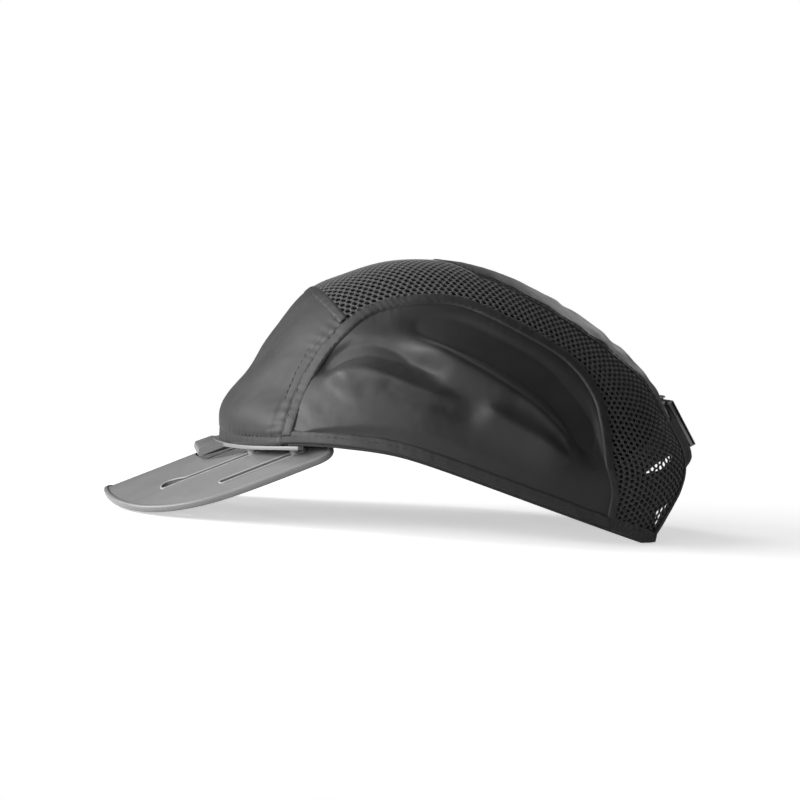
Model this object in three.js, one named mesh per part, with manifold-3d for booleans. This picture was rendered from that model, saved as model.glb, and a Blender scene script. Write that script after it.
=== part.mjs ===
// Bump cap with a sliding peak and a rear strap with a cam-lever buckle.
// Millimetres, +Z up. The peak points towards -Y, the strap is at +Y, and +X is the wearer's left.
// The cap stands on the side edges of its peak and on its two rear hem corners, at Z = 0.
import * as THREE from "three";
import { mergeVertices } from "three/addons/utils/BufferGeometryUtils.js";
import Module from "manifold-3d";

const wasm = await Module();
wasm.setup();

// ---- driving dimensions -------------------------------------------------
const HALF_WIDTH = 88; // crown, at the temples
const ROUNDNESS = 2.3; // superellipse exponent of every crown section
const POLE = { y: 18, z: 28 }; // the point at each temple that the crown is measured from
// Centre-line of the crown as side-view points (y, z), from the brow over the top to the nape.
const PROFILE = [
  [-91, 20], [-90, 34], [-89.9, 50], [-78, 68.5], [-68, 86], [-52, 108.5], [-33.6, 118.8],
  [-12, 126.5], [13.4, 128.4], [38.3, 124.7], [63.7, 115.5], [89.7, 101.5], [110.9, 86],
  [121.9, 73.6], [127, 65], [133.6, 54.8], [140.3, 44.3], [142.6, 35], [141.5, 24], [138, 12], [133, -2],
  [126, -16],
];
const CLOTH = 1.5; // thickness of every cloth panel
const SEAM_GAP = 0.4; // between neighbouring panels
const TAPE_WIDTH = 5; // top-stitched tape and bindings
const HEM_HEIGHT = 7;
const HEM_ENDS = [-61, 119.5]; // y of the ends of each hem binding
// Shares of the side seam's length where the pieces along it start and end.
const FRONT_PANEL_START = 0.005;
const SIDE_PANEL_SPAN = [0.03, 0.975];
const SIDE_TAPE_SPAN = [0.04, 0.945];
const SIDE_PANEL_RIM = [-60, 86]; // y of the side panel's lower corners
const ARCH_BINDING_SPAN = [0.04, 0.96]; // shares of the rear arch

// Lower edge of the crown: level at the brow, then falling towards the nape.
const RIM_HEIGHT = 38;
const RIM_FALL = 0.3;
const RIM_BREAK_Y = -15;
const RIM_BLEND = 14;
const BROW_DIP = 4;

// Seam between a side panel and its neighbours, side-view points (y, z) from the brow round to the nape.
const SIDE_SEAM = [
  [-65.5, 37], [-64, 46], [-57, 68], [-46, 87], [-29, 103], [-4, 110.5], [18, 110], [49, 98],
  [70, 86], [83, 70], [88, 52], [90, 37], [94, 22], [92, 4],
];
const FRONT_SEAM_ANGLE = 129; // degrees round the temple, where the front panel meets the mesh

// Half-width (x) of the centre panel by angle round the temple (degrees), from its rounded start backwards.
const CENTRE_EDGE = [
  [96, 0], [93, 20], [86, 36], [70, 43], [50, 45], [36, 43], [24, 38.5], [14.4, 35],
];
// Half-width (x) of the rear arch by angle round the temple, from its top to the hem corner.
const ARCH_EDGE = [
  [19.6, 0], [19.2, 13], [17, 23], [12.5, 30], [6, 34.5], [0, 38.5], [-8, 45.5], [-16.5, 51],
];
const MM_PER_DEGREE = 2.07; // along the back of the crown

// Hard shell and padding, all measured inwards from the outer face of the cloth.
const SHELL_OUT = 3.2;
const SHELL_IN = 5.6;
const PAD_OUT = 6.8;
const PAD_IN = 12;
const SHELL_WIDEST = 84.5;
// Lower edge of the hard shell (y, z): clear of the peak at the brow, raised at the back.
const SHELL_FOOT = [[-90, 46], [-60, 54], [0, 54], [60, 40], [86, 24], [97, 37], [106, 44], [114, 49], [128, 68]];
// Pads, as half-width or y range and the range of angle, height or height above the rim.
const CROWN_PAD = { x: 34, angle: [58, 118] };
const SIDE_PAD = { y: [-8, 56], z: [62, 88] };
const REAR_PAD = { x: 30, angle: [29, 44] };
const BROW_PAD = { x: 52, aboveRim: [1.5, 30] };

// Peak: an arched plate that slides up and back on four guide pins.
const SLIDE_ANGLE = 25; // degrees above level
const PEAK_ORIGIN = { y: -99.7, z: 25.6 }; // crown of the arch, at the foot of the fixed tongue
const ARCH_RADIUS = 170;
const PLATE = 2.2;
const BEAD = 3; // width of the raised edge
const BEAD_RISE = 0.9;
const BEAD_DROP = 1.4;
const PEAK_TIP = 49;
const WING_END = 58;
const WING_X = 74.5;
const BAY_FRONT = -0.5; // middle of the plate's rear edge, just under the tongue
const SLOT_WIDTH = 2.5;
const SLOTS = [
  { x: 43.5, front: -22, rear: 28.5 },
  { x: 61, front: 4, rear: 46 },
];
const PIN_SHAFT = 0.6;
const PIN_HEAD = 2.2;
const PIN_BOSS_TOP = 3.4;
const PIN_BACK = 5; // from the rear end of a slot forward to its pin, at full extension

// Carrier: a ledge that follows the brow just under the cloth, with a short tongue at the middle.
const CARRIER = 1.7;
const CARRIER_END_X = 70;
const CARRIER_TURN = 62; // half the turn, in degrees, that spreads its points along x
const LEDGE_OUT = 2.6;
const LEDGE_MIDDLE = 0.8;
const FLANGE_IN = { ends: -1, middle: -2.2 };
const TONGUE_WIDTH = 56;
const TONGUE_SIDE = [[-87.5, 31.9], [-100.4, 25.9], [-100.6, 29.6], [-92.5, 33], [-87.5, 33]];

// Rear strap and buckle.
const STRAP_HALF = 5.3; // half the strap's width, in degrees round the temple
const STRAP_TOP = 12.9; // angle of the strap's middle at the centre of the back
const STRAP_DROP = 16.9; // how far its ends fall, in degrees
const STRAP_LEVEL_X = 72; // where it stops falling
const STRAP_END_X = 74;
const STRAP = 1;
const STRAP_LIFT = 3.6; // outside the crown, at the buckle
const STRAP_TUCK = 2; // inside it, at its ends
const LEFT_STRAP_FREE_X = -8; // the left strap passes through the buckle
const RIGHT_STRAP_X = -14.4; // the right strap is fixed to the end of the buckle
const BUCKLE_TILT = 32.5;
const BUCKLE_ORIGIN = { y: 134.4, z: 53.9 };
const BUCKLE_WIDTH = 26; // along the strap's width
const BUCKLE_LENGTH = 28; // along the strap
const BUCKLE_WALL = 1.1;
const BUCKLE_FLOOR = 0.9;
const BUCKLE_WALL_TOP = 7;
const BUCKLE_WALL_END = -2; // x at which its side walls stop
const BUCKLE_WINDOW = { from: 4, to: 8, side: 3 }; // the strap's slot in the base, from its end and sides
const HINGE_X = -9; // buckle frame: x along the strap, y outwards, z along the strap's width
const HINGE_Y = 5.3;
const HINGE_RADIUS = 1;
const LEVER_BARREL = 1.6;
const LEVER_LAYER = [4.3, 6.1];

const ORIGIN_SHIFT_Y = -1.7; // puts the middle of the whole cap at y = 0

// ---- crown surface ------------------------------------------------------
const degrees = THREE.MathUtils.degToRad;
const mix = THREE.MathUtils.lerp;

function planeCurve(points) {
  return new THREE.CatmullRomCurve3(
    points.map(([a, b]) => new THREE.Vector3(a, b, 0)), false, "catmullrom", 0.5);
}

const profileByAngle = planeCurve(PROFILE).getPoints(PROFILE.length * 16).map((p) => {
  const angle = Math.atan2(p.y - POLE.z, p.x - POLE.y);
  return [angle < -Math.PI / 2 ? angle + 2 * Math.PI : angle, Math.hypot(p.x - POLE.y, p.y - POLE.z)];
}).sort((a, b) => a[0] - b[0]);

// Linear look-up in a list of [key, value] pairs sorted by rising key.
function lookUp(table, key) {
  let i = table.findIndex((row) => row[0] >= key);
  if (i === 0) return table[0][1];
  if (i < 0) return table[table.length - 1][1];
  const [k0, v0] = table[i - 1];
  const [k1, v1] = table[i];
  return v0 + ((v1 - v0) * (key - k0)) / Math.max(k1 - k0, 1e-9);
}

const profileRadius = (angle) => lookUp(profileByAngle, angle);

// Zero on the outer face of the crown, negative inside it.
function crownField(p) {
  const y = p.y - POLE.y;
  const z = p.z - POLE.z;
  const radius = Math.hypot(y, z) / profileRadius(Math.atan2(z, y) < -Math.PI / 2
    ? Math.atan2(z, y) + 2 * Math.PI : Math.atan2(z, y));
  return Math.abs(p.x / HALF_WIDTH) ** ROUNDNESS + radius ** ROUNDNESS - 1;
}

function crownNormal(p) {
  const step = 1.5;
  const slope = (axis) => {
    const a = p.clone();
    const b = p.clone();
    a[axis] += step;
    b[axis] -= step;
    return crownField(a) - crownField(b);
  };
  return new THREE.Vector3(slope("x"), slope("y"), slope("z")).normalize();
}

// A point of the crown at a side-view place (y, z), on the left (+1) or the right (-1).
function sidePoint(y, z, side) {
  const angle = Math.atan2(z - POLE.z, y - POLE.y);
  const radius = Math.hypot(y - POLE.y, z - POLE.z) /
    profileRadius(angle < -Math.PI / 2 ? angle + 2 * Math.PI : angle);
  const x = HALF_WIDTH * Math.max(1 - radius ** ROUNDNESS, 0) ** (1 / ROUNDNESS);
  return new THREE.Vector3(side * x, y, z);
}

// Size of the crown's section of half-width x, as a share of the middle one.
const bandShare = (x) => (1 - Math.abs(x / HALF_WIDTH) ** ROUNDNESS) ** (1 / ROUNDNESS);

// A point of the crown by its half-width x and its angle round the temple.
function bandPoint(x, angleDegrees) {
  const angle = degrees(angleDegrees);
  const radius = bandShare(x) * profileRadius(angle);
  return new THREE.Vector3(x, POLE.y + radius * Math.cos(angle), POLE.z + radius * Math.sin(angle));
}

function inward(p, depth) {
  return p.clone().addScaledVector(crownNormal(p), -depth);
}

function rimHeight(y) {
  const past = y - RIM_BREAK_Y;
  const fall = 0.5 * (past + Math.sqrt(past * past + RIM_BLEND * RIM_BLEND));
  const brow = THREE.MathUtils.smoothstep(-y, 42, 90);
  return RIM_HEIGHT - RIM_FALL * fall - BROW_DIP * brow;
}

// Angle round the temple at which a section of half-width x meets a height above the rim.
function rimAngle(x, above, atFront) {
  let inside = 90;
  let outside = atFront ? 200 : -40;
  for (let i = 0; i < 40; i++) {
    const middle = (inside + outside) / 2;
    const p = bandPoint(x, middle);
    if (p.z > rimHeight(p.y) + above) inside = middle;
    else outside = middle;
  }
  return inside;
}

// ---- solids -------------------------------------------------------------
// Joins vertices, drops collapsed triangles and gives a geometry that holds only positions.
function clean(geometry) {
  const bare = new THREE.BufferGeometry();
  bare.setAttribute("position", geometry.getAttribute("position"));
  if (geometry.index) bare.setIndex(geometry.index);
  const merged = mergeVertices(bare, 1e-4);
  const kept = [];
  for (let i = 0; i < merged.index.count; i += 3) {
    const [a, b, c] = [0, 1, 2].map((k) => merged.index.getX(i + k));
    if (a !== b && b !== c && c !== a) kept.push(a, b, c);
  }
  merged.setIndex(kept);
  return merged;
}

function toSolid(geometry) {
  const g = clean(geometry);
  const solid = new wasm.Manifold(new wasm.Mesh({
    numProp: 3,
    vertProperties: g.attributes.position.array,
    triVerts: new Uint32Array(g.index.array),
  }));
  return solid;
}

function fromSolid(solid) {
  const mesh = solid.getMesh();
  const positions = new Float32Array(mesh.numVert * 3);
  for (let i = 0; i < mesh.numVert; i++) {
    positions.set(mesh.vertProperties.subarray(i * mesh.numProp, i * mesh.numProp + 3), i * 3);
  }
  const g = new THREE.BufferGeometry();
  g.setAttribute("position", new THREE.BufferAttribute(positions, 3));
  g.setIndex(Array.from(mesh.triVerts));
  return g;
}

// A curved sheet with thickness. place(u, v) gives its outer face; depths are measured inwards.
function sheet(place, columns, rows, outerDepth, innerDepth) {
  const vertices = [];
  const depthAt = (depth, u) => (typeof depth === "function" ? depth(u) : depth);
  for (const depth of [outerDepth, innerDepth]) {
    for (let j = 0; j <= rows; j++) {
      for (let i = 0; i <= columns; i++) {
        const u = i / columns;
        vertices.push(...inward(place(u, j / rows), depthAt(depth, u)).toArray());
      }
    }
  }
  const layer = (columns + 1) * (rows + 1);
  const at = (i, j, k) => k * layer + j * (columns + 1) + i;
  const triangles = [];
  const quad = (a, b, c, d) => triangles.push(a, b, c, a, c, d);
  for (let j = 0; j < rows; j++) {
    for (let i = 0; i < columns; i++) {
      quad(at(i, j, 0), at(i + 1, j, 0), at(i + 1, j + 1, 0), at(i, j + 1, 0));
      quad(at(i, j, 1), at(i, j + 1, 1), at(i + 1, j + 1, 1), at(i + 1, j, 1));
    }
  }
  for (let i = 0; i < columns; i++) {
    quad(at(i, 0, 0), at(i, 0, 1), at(i + 1, 0, 1), at(i + 1, 0, 0));
    quad(at(i, rows, 0), at(i + 1, rows, 0), at(i + 1, rows, 1), at(i, rows, 1));
  }
  for (let j = 0; j < rows; j++) {
    quad(at(0, j, 0), at(0, j + 1, 0), at(0, j + 1, 1), at(0, j, 1));
    quad(at(columns, j, 0), at(columns, j, 1), at(columns, j + 1, 1), at(columns, j + 1, 0));
  }
  const g = new THREE.BufferGeometry();
  g.setAttribute("position", new THREE.BufferAttribute(new Float32Array(vertices), 3));
  g.setIndex(triangles);
  return faceOut(clean(g));
}

// Turns every face round if the solid is inside out.
function faceOut(g) {
  const p = g.attributes.position;
  const [a, b, c] = [0, 1, 2].map(() => new THREE.Vector3());
  let volume = 0;
  for (let i = 0; i < g.index.count; i += 3) {
    a.fromBufferAttribute(p, g.index.getX(i));
    b.fromBufferAttribute(p, g.index.getX(i + 1));
    c.fromBufferAttribute(p, g.index.getX(i + 2));
    volume += a.dot(b.cross(c));
  }
  if (volume < 0) {
    const turned = Array.from(g.index.array);
    for (let i = 0; i < turned.length; i += 3) [turned[i], turned[i + 1]] = [turned[i + 1], turned[i]];
    g.setIndex(turned);
  }
  return g;
}

function boxSolid(low, high) {
  const g = new THREE.BoxGeometry(high[0] - low[0], high[1] - low[1], high[2] - low[2]);
  g.translate((high[0] + low[0]) / 2, (high[1] + low[1]) / 2, (high[2] + low[2]) / 2);
  return toSolid(g);
}

// Cuts away whatever reaches below the ground, which leaves flat resting faces.
function trimToGround(geometry) {
  return fromSolid(toSolid(geometry).subtract(boxSolid([-300, -300, -50], [300, 300, 0])));
}

// ---- materials ----------------------------------------------------------
const colours = {
  satin: [0x3a3a3d, 0.55, 0],
  mesh: [0x1c1c1e, 0.8, 0],
  webbing: [0x101012, 0.85, 0],
  shell: [0x141416, 0.5, 0],
  foam: [0x2a2a2c, 0.95, 0],
  peak: [0x77777b, 0.42, 0],
  metal: [0xa6a8ab, 0.35, 0.9],
};

function material(name) {
  const [color, roughness, metalness] = colours[name];
  return new THREE.MeshStandardMaterial({ color, roughness, metalness });
}

const cap = new THREE.Group();

function addPiece(name, geometry, materialName, parent = cap) {
  const mesh = new THREE.Mesh(geometry, material(materialName));
  mesh.name = name;
  parent.add(mesh);
  return mesh;
}

// ---- crown cloth --------------------------------------------------------
const sideSeam = planeCurve(SIDE_SEAM);

// Point of the side seam moved away from the panel's middle by a distance.
function seamPoint(share, outwardBy) {
  const p = sideSeam.getPointAt(share);
  const direction = new THREE.Vector2(p.x - 20, p.y - 50).normalize();
  return [p.x + direction.x * outwardBy, p.y + direction.y * outwardBy];
}

// Part of the side seam's length that borders the front panel.
const FRONT_SEAM_SHARE = frontSeamShare();

function frontSeamShare() {
  let below = 0.1;
  let above = 0.5;
  for (let i = 0; i < 30; i++) {
    const middle = (below + above) / 2;
    if (bandOf(sidePoint(...seamPoint(middle, SEAM_GAP), 1))[1] > FRONT_SEAM_ANGLE) below = middle;
    else above = middle;
  }
  return below;
}

const rising = (rows) => [...rows].sort((a, b) => a[0] - b[0]);
const centreEdge = rising(CENTRE_EDGE);

// The rear arch from the right corner (0) over its top (0.5) to the left corner (1).
const archLeft = ARCH_EDGE.map(([angle, x]) => [x, angle * MM_PER_DEGREE]);
const archRight = archLeft.slice(1).reverse().map(([x, height]) => [-x, height]);
const archPath = planeCurve([...archRight, ...archLeft]);

// Half-width and angle of a point of the arch, moved out of the opening by a distance.
function archPoint(share, outwardBy) {
  const p = archPath.getPointAt(share);
  const tangent = archPath.getTangentAt(share);
  return [p.x - tangent.y * outwardBy, (p.y + tangent.x * outwardBy) / MM_PER_DEGREE];
}

// Foot of the centre panel: its angle by half-width.
const archFoot = rising([0.5, 0.56, 0.6, 0.64, 0.68, 0.72].map((t) => archPoint(t, TAPE_WIDTH + SEAM_GAP)));

// Half-width and angle of a crown point.
function bandOf(p) {
  const angle = THREE.MathUtils.radToDeg(Math.atan2(p.z - POLE.z, p.y - POLE.y));
  return [p.x, angle < -90 ? angle + 360 : angle];
}

// From the rim (v = 0) up to the front seam (v = 1), and across from right to left.
function frontPanelPlace(u, v) {
  const across = 2 * u - 1;
  const edge = seamPoint(mix(FRONT_PANEL_START, FRONT_SEAM_SHARE - 0.012, v), 2 * SEAM_GAP);
  const [x, edgeAngle] = bandOf(sidePoint(edge[0], edge[1], 1));
  const rim = rimAngle(x * across, 0.3, true);
  const top = FRONT_SEAM_ANGLE + 3.6;
  const bowed = mix(mix(rim, top, v), edgeAngle, across * across * v * (1 - v) * 2);
  return bandPoint(x * across, bowed);
}

function frontSeamTape() {
  const half = sidePoint(...seamPoint(FRONT_SEAM_SHARE - 0.006, 1), 1).x;
  return sheet((u, v) => bandPoint(mix(-half, half, u), FRONT_SEAM_ANGLE + mix(0.4, 3.2, v)),
    16, 1, -0.3, CLOTH);
}

// A side panel spans from the hem up to the inner edge of its tape.
function sidePanelPlace(side, inset) {
  return (u, v) => {
    const top = seamPoint(mix(...SIDE_PANEL_SPAN, u), -inset);
    const rimY = mix(...SIDE_PANEL_RIM, u);
    const y = mix(rimY, top[0], v);
    const low = rimHeight(rimY) + HEM_HEIGHT + SEAM_GAP;
    return sidePoint(y, mix(low, Math.max(top[1], low + 0.6), v), side);
  };
}

function sideTape(side) {
  const place = (u, v) => sidePoint(
    ...seamPoint(mix(...SIDE_TAPE_SPAN, u), -TAPE_WIDTH * v), side);
  return sheet(place, 36, 1, -0.3, CLOTH);
}

// Inner edge of the mesh: the centre-line, then the centre panel, then the rear arch, to the corner.
const meshInner = planeCurve([
  [FRONT_SEAM_ANGLE, -0.5], [112, -0.5], [97, -0.5],
  ...CENTRE_EDGE.slice(1).map(([angle, x]) => [angle, x + SEAM_GAP]),
  ...[0.76, 0.84, 0.92, 0.99].map((t) => archPoint(t, TAPE_WIDTH + SEAM_GAP)).map(([x, angle]) => [angle, x]),
]);

function meshHalf(side) {
  const place = (u, v) => {
    const outer = sidePoint(...seamPoint(mix(FRONT_SEAM_SHARE, 0.985, u), SEAM_GAP), side);
    const [outerX, outerAngle] = bandOf(outer);
    const inner = meshInner.getPointAt(u);
    const x = mix(Math.abs(outerX), inner.y, v);
    const lowest = rimAngle(x, HEM_HEIGHT + SEAM_GAP, false);
    return bandPoint(side * x, Math.max(mix(outerAngle, inner.x, v), lowest));
  };
  return sheet(place, 44, 5, 0, CLOTH);
}

function meshPanel() {
  return fromSolid(toSolid(meshHalf(1)).add(toSolid(meshHalf(-1))));
}

// The centre panel ends at the rear arch, which its lower edge follows.
function centrePanelPlace(u, v) {
  const across = 2 * u - 1;
  const foot = lookUp(archFoot, Math.abs(across * 34));
  const angle = mix(foot, 93.4, v ** 1.15);
  return bandPoint(across * Math.max(lookUp(centreEdge, angle) - 2 * SEAM_GAP, 0.5), angle);
}

function hemBinding(side) {
  const place = (u, v) => {
    const y = mix(...HEM_ENDS, u);
    return sidePoint(y, rimHeight(y) + mix(-0.2, HEM_HEIGHT, v), side);
  };
  return trimToGround(sheet(place, 26, 1, -0.3, CLOTH + 0.3));
}

function rearArchBinding() {
  const place = (u, v) => bandPoint(...archPoint(mix(...ARCH_BINDING_SPAN, u), TAPE_WIDTH * v));
  return sheet(place, 34, 1, -0.3, CLOTH + 0.3);
}

// ---- hard shell and padding ---------------------------------------------
const shellFoot = (y) => lookUp(SHELL_FOOT, y);

function shellRimAngle(x, atFront) {
  let inside = 90;
  let outside = atFront ? 200 : -40;
  for (let i = 0; i < 40; i++) {
    const middle = (inside + outside) / 2;
    const p = bandPoint(x, middle);
    if (p.z > shellFoot(p.y)) inside = middle;
    else outside = middle;
  }
  return inside;
}

function hardShell() {
  const place = (u, v) => {
    const x = SHELL_WIDEST * Math.sin(degrees(mix(-90, 90, u)));
    return bandPoint(x, mix(shellRimAngle(x, false), shellRimAngle(x, true), v));
  };
  return sheet(place, 20, 18, SHELL_OUT, SHELL_IN);
}

function crownPad() {
  const place = (u, v) => bandPoint(mix(-CROWN_PAD.x, CROWN_PAD.x, u), mix(...CROWN_PAD.angle, v));
  return sheet(place, 6, 8, PAD_OUT, PAD_IN);
}

function sidePad(side) {
  const place = (u, v) => sidePoint(mix(...SIDE_PAD.y, u), mix(...SIDE_PAD.z, v), side);
  return sheet(place, 6, 4, PAD_OUT, PAD_IN);
}

function rearPad() {
  const place = (u, v) => bandPoint(mix(-REAR_PAD.x, REAR_PAD.x, u), mix(...REAR_PAD.angle, v));
  return sheet(place, 6, 4, PAD_OUT, PAD_IN);
}

function browPad() {
  const place = (u, v) => {
    const x = mix(-BROW_PAD.x, BROW_PAD.x, u);
    return bandPoint(x, rimAngle(x, mix(...BROW_PAD.aboveRim, v), true));
  };
  return sheet(place, 14, 3, PAD_OUT + 0.4, PAD_IN - 1);
}

// ---- peak ---------------------------------------------------------------
// Peak frame: x across, y up and back along the slide, z out of the top face.
const peakFrame = new THREE.Group();
peakFrame.position.set(0, PEAK_ORIGIN.y, PEAK_ORIGIN.z);
peakFrame.rotation.x = degrees(SLIDE_ANGLE);
cap.add(peakFrame);

const archSag = (x) => ARCH_RADIUS - Math.sqrt(ARCH_RADIUS ** 2 - x ** 2);

function prism(shape, low, high, curveSegments = 10) {
  const g = new THREE.ExtrudeGeometry(shape, { depth: high - low, bevelEnabled: false, curveSegments });
  g.translate(0, 0, low);
  return toSolid(g);
}

// An arched slab between two heights over the arch, wide and long enough for the whole peak.
function archSlab(low, high) {
  const across = new THREE.Shape();
  const halfWidth = 84;
  const half = Math.asin(halfWidth / ARCH_RADIUS);
  across.absarc(0, -ARCH_RADIUS, ARCH_RADIUS + high, Math.PI / 2 - half, Math.PI / 2 + half, false);
  across.absarc(0, -ARCH_RADIUS, ARCH_RADIUS + low, Math.PI / 2 + half, Math.PI / 2 - half, true);
  const g = new THREE.ExtrudeGeometry(across, { depth: 160, bevelEnabled: false, curveSegments: 18 });
  g.rotateX(Math.PI / 2);
  g.translate(0, 90, 0);
  return toSolid(g);
}

// Outline of the sliding plate, pulled in by a margin: rounded front, straight sides, two wings
// and between them a rear edge that leaves room for the forehead.
function plateOutline(margin) {
  const m = margin;
  const s = new THREE.Shape();
  s.moveTo(0, -PEAK_TIP + m);
  s.bezierCurveTo(36, -PEAK_TIP + m, 62 - m, -42 + m, WING_X - 3.5 - m, -8);
  s.bezierCurveTo(WING_X - m, 6, WING_X - m, 20, WING_X - m, WING_END - 10);
  s.quadraticCurveTo(WING_X - m, WING_END - m, WING_X - 8, WING_END - m);
  s.lineTo(57 + m, WING_END - 3 - m);
  s.bezierCurveTo(52 + m, 46, 44 + m, 44, 41 + m, 34);
  s.bezierCurveTo(38 + m, 24, 36 + m, 14, 31 + m, 8);
  s.bezierCurveTo(26 + m, 2 - m, 14, BAY_FRONT - m, 0, BAY_FRONT - m);
  s.bezierCurveTo(-14, BAY_FRONT - m, -26 - m, 2 - m, -31 - m, 8);
  s.bezierCurveTo(-36 - m, 14, -38 - m, 24, -41 - m, 34);
  s.bezierCurveTo(-44 - m, 44, -52 - m, 46, -57 - m, WING_END - 3 - m);
  s.lineTo(-WING_X + 8, WING_END - m);
  s.quadraticCurveTo(-WING_X + m, WING_END - m, -WING_X + m, WING_END - 10);
  s.bezierCurveTo(-WING_X + m, 20, -WING_X + m, 6, -WING_X + 3.5 + m, -8);
  s.bezierCurveTo(-62 + m, -42 + m, -36, -PEAK_TIP + m, 0, -PEAK_TIP + m);
  return s;
}

// The part of the plate round the bay, where the edge has no bead.
function baySide() {
  const s = new THREE.Shape();
  s.setFromPoints([[-45, -16], [45, -16], [62, 6], [64, 62], [-64, 62], [-62, 6]]
    .map(([x, y]) => new THREE.Vector2(x, y)));
  s.closePath();
  return s;
}

function slotShape(slot, side) {
  const half = SLOT_WIDTH / 2;
  const x = side * slot.x;
  const s = new THREE.Shape();
  s.absarc(x, slot.front + half, half, Math.PI, 2 * Math.PI, false);
  s.absarc(x, slot.rear - half, half, 0, Math.PI, false);
  s.closePath();
  return s;
}

// The half-moon thumb hole at the front end of each inner slot.
function thumbHole(side) {
  const x = side * SLOTS[0].x;
  const s = new THREE.Shape();
  s.moveTo(x, SLOTS[0].front - 1);
  s.quadraticCurveTo(x - side * 4.6, SLOTS[0].front + 1, x - side * 3.6, SLOTS[0].front + 6);
  s.quadraticCurveTo(x - side * 2, SLOTS[0].front + 9.5, x, SLOTS[0].front + 10);
  s.closePath();
  return s;
}

// Everything below the ground, seen from the peak's frame: it leaves flat feet on the peak's sides.
function groundInPeakFrame() {
  peakFrame.updateMatrixWorld(true);
  const g = new THREE.BoxGeometry(300, 300, 50);
  g.translate(0, -100, -25);
  g.applyMatrix4(peakFrame.matrixWorld.clone().invert());
  return toSolid(g);
}

function peakPlate() {
  const whole = prism(plateOutline(0), -60, 20);
  const field = prism(plateOutline(BEAD), -60, 20);
  const bead = whole.subtract(field).subtract(prism(baySide(), -60, 20));
  let plate = archSlab(-PLATE, 0).intersect(whole);
  plate = plate.add(archSlab(-PLATE - BEAD_DROP, BEAD_RISE).intersect(bead));
  for (const side of [1, -1]) {
    for (const slot of SLOTS) plate = plate.subtract(prism(slotShape(slot, side), -60, 20, 6));
    plate = plate.subtract(prism(thumbHole(side), -60, 20, 4));
  }
  return fromSolid(plate.subtract(groundInPeakFrame()));
}

// Guide pin: a boss on the carrier, a shaft through the slot and a head below the plate.
function guidePin() {
  const points = [
    [0, -PLATE - 1.9], [PIN_HEAD, -PLATE - 1.6], [PIN_HEAD, -PLATE - 0.4], [PIN_SHAFT, -PLATE - 0.4],
    [PIN_SHAFT, 0.4], [PIN_HEAD, 0.4], [PIN_HEAD, PIN_BOSS_TOP - 0.4], [0, PIN_BOSS_TOP],
  ];
  const g = new THREE.LatheGeometry(points.map(([r, z]) => new THREE.Vector2(r, z)), 14);
  g.rotateX(Math.PI / 2);
  return faceOut(clean(g));
}

// Puts an object on the arch at a slot's pin.
function placeAtPin(object, side, slot) {
  object.position.set(side * slot.x, slot.rear - PIN_BACK, -archSag(slot.x));
  object.rotation.y = side * Math.asin(slot.x / ARCH_RADIUS);
}

// Room for the pins' bosses in the carrier.
function pinSeats() {
  let seats = null;
  for (const side of [1, -1]) {
    for (const slot of SLOTS) {
      const holder = new THREE.Group();
      placeAtPin(holder, side, slot);
      peakFrame.add(holder);
      holder.updateWorldMatrix(true, false);
      const g = new THREE.CylinderGeometry(PIN_HEAD + 0.35, PIN_HEAD + 0.35, 12, 14);
      g.rotateX(Math.PI / 2);
      g.applyMatrix4(holder.matrixWorld);
      peakFrame.remove(holder);
      const seat = toSolid(g);
      seats = seats ? seats.add(seat) : seat;
    }
  }
  return seats;
}

// A point of the carrier: t runs from its right end to its left end.
function carrierEdge(t, outwardBy) {
  const turn = degrees(mix(-CARRIER_TURN, CARRIER_TURN, t));
  const x = CARRIER_END_X * Math.sin(turn) / Math.sin(degrees(CARRIER_TURN));
  const p = bandPoint(x, rimAngle(x, 0, true));
  const level = new THREE.Vector3(p.x * 0.9, p.y - POLE.y, 0).normalize();
  return new THREE.Vector3(
    p.x + level.x * outwardBy, p.y + level.y * outwardBy, rimHeight(p.y) - 0.5);
}

// The ledge sticks out a little under the cloth; its inner flange narrows towards the ends.
function carrierStrip() {
  const steps = 30;
  const vertices = [];
  for (const drop of [0, CARRIER]) {
    for (const ring of [0, 1, 2]) {
      for (let i = 0; i <= steps; i++) {
        const t = i / steps;
        const flange = 1 - Math.abs(2 * t - 1) ** 2;
        const reach = [LEDGE_OUT, LEDGE_MIDDLE, mix(FLANGE_IN.ends, FLANGE_IN.middle, flange)][ring];
        const p = carrierEdge(t, reach);
        vertices.push(p.x, p.y, p.z - drop);
      }
    }
  }
  const at = (i, ring, layer) => (layer * 3 + ring) * (steps + 1) + i;
  const triangles = [];
  const quad = (a, b, c, d) => triangles.push(a, b, c, a, c, d);
  for (let i = 0; i < steps; i++) {
    for (const ring of [0, 1]) {
      quad(at(i, ring, 0), at(i + 1, ring, 0), at(i + 1, ring + 1, 0), at(i, ring + 1, 0));
      quad(at(i, ring, 1), at(i, ring + 1, 1), at(i + 1, ring + 1, 1), at(i + 1, ring, 1));
    }
    quad(at(i, 0, 0), at(i, 0, 1), at(i + 1, 0, 1), at(i + 1, 0, 0));
    quad(at(i, 2, 0), at(i + 1, 2, 0), at(i + 1, 2, 1), at(i, 2, 1));
  }
  for (const ring of [0, 1]) {
    quad(at(0, ring, 0), at(0, ring + 1, 0), at(0, ring + 1, 1), at(0, ring, 1));
    quad(at(steps, ring, 0), at(steps, ring, 1), at(steps, ring + 1, 1), at(steps, ring + 1, 0));
  }
  const g = new THREE.BufferGeometry();
  g.setAttribute("position", new THREE.BufferAttribute(new Float32Array(vertices), 3));
  g.setIndex(triangles);
  return toSolid(faceOut(clean(g)));
}

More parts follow.
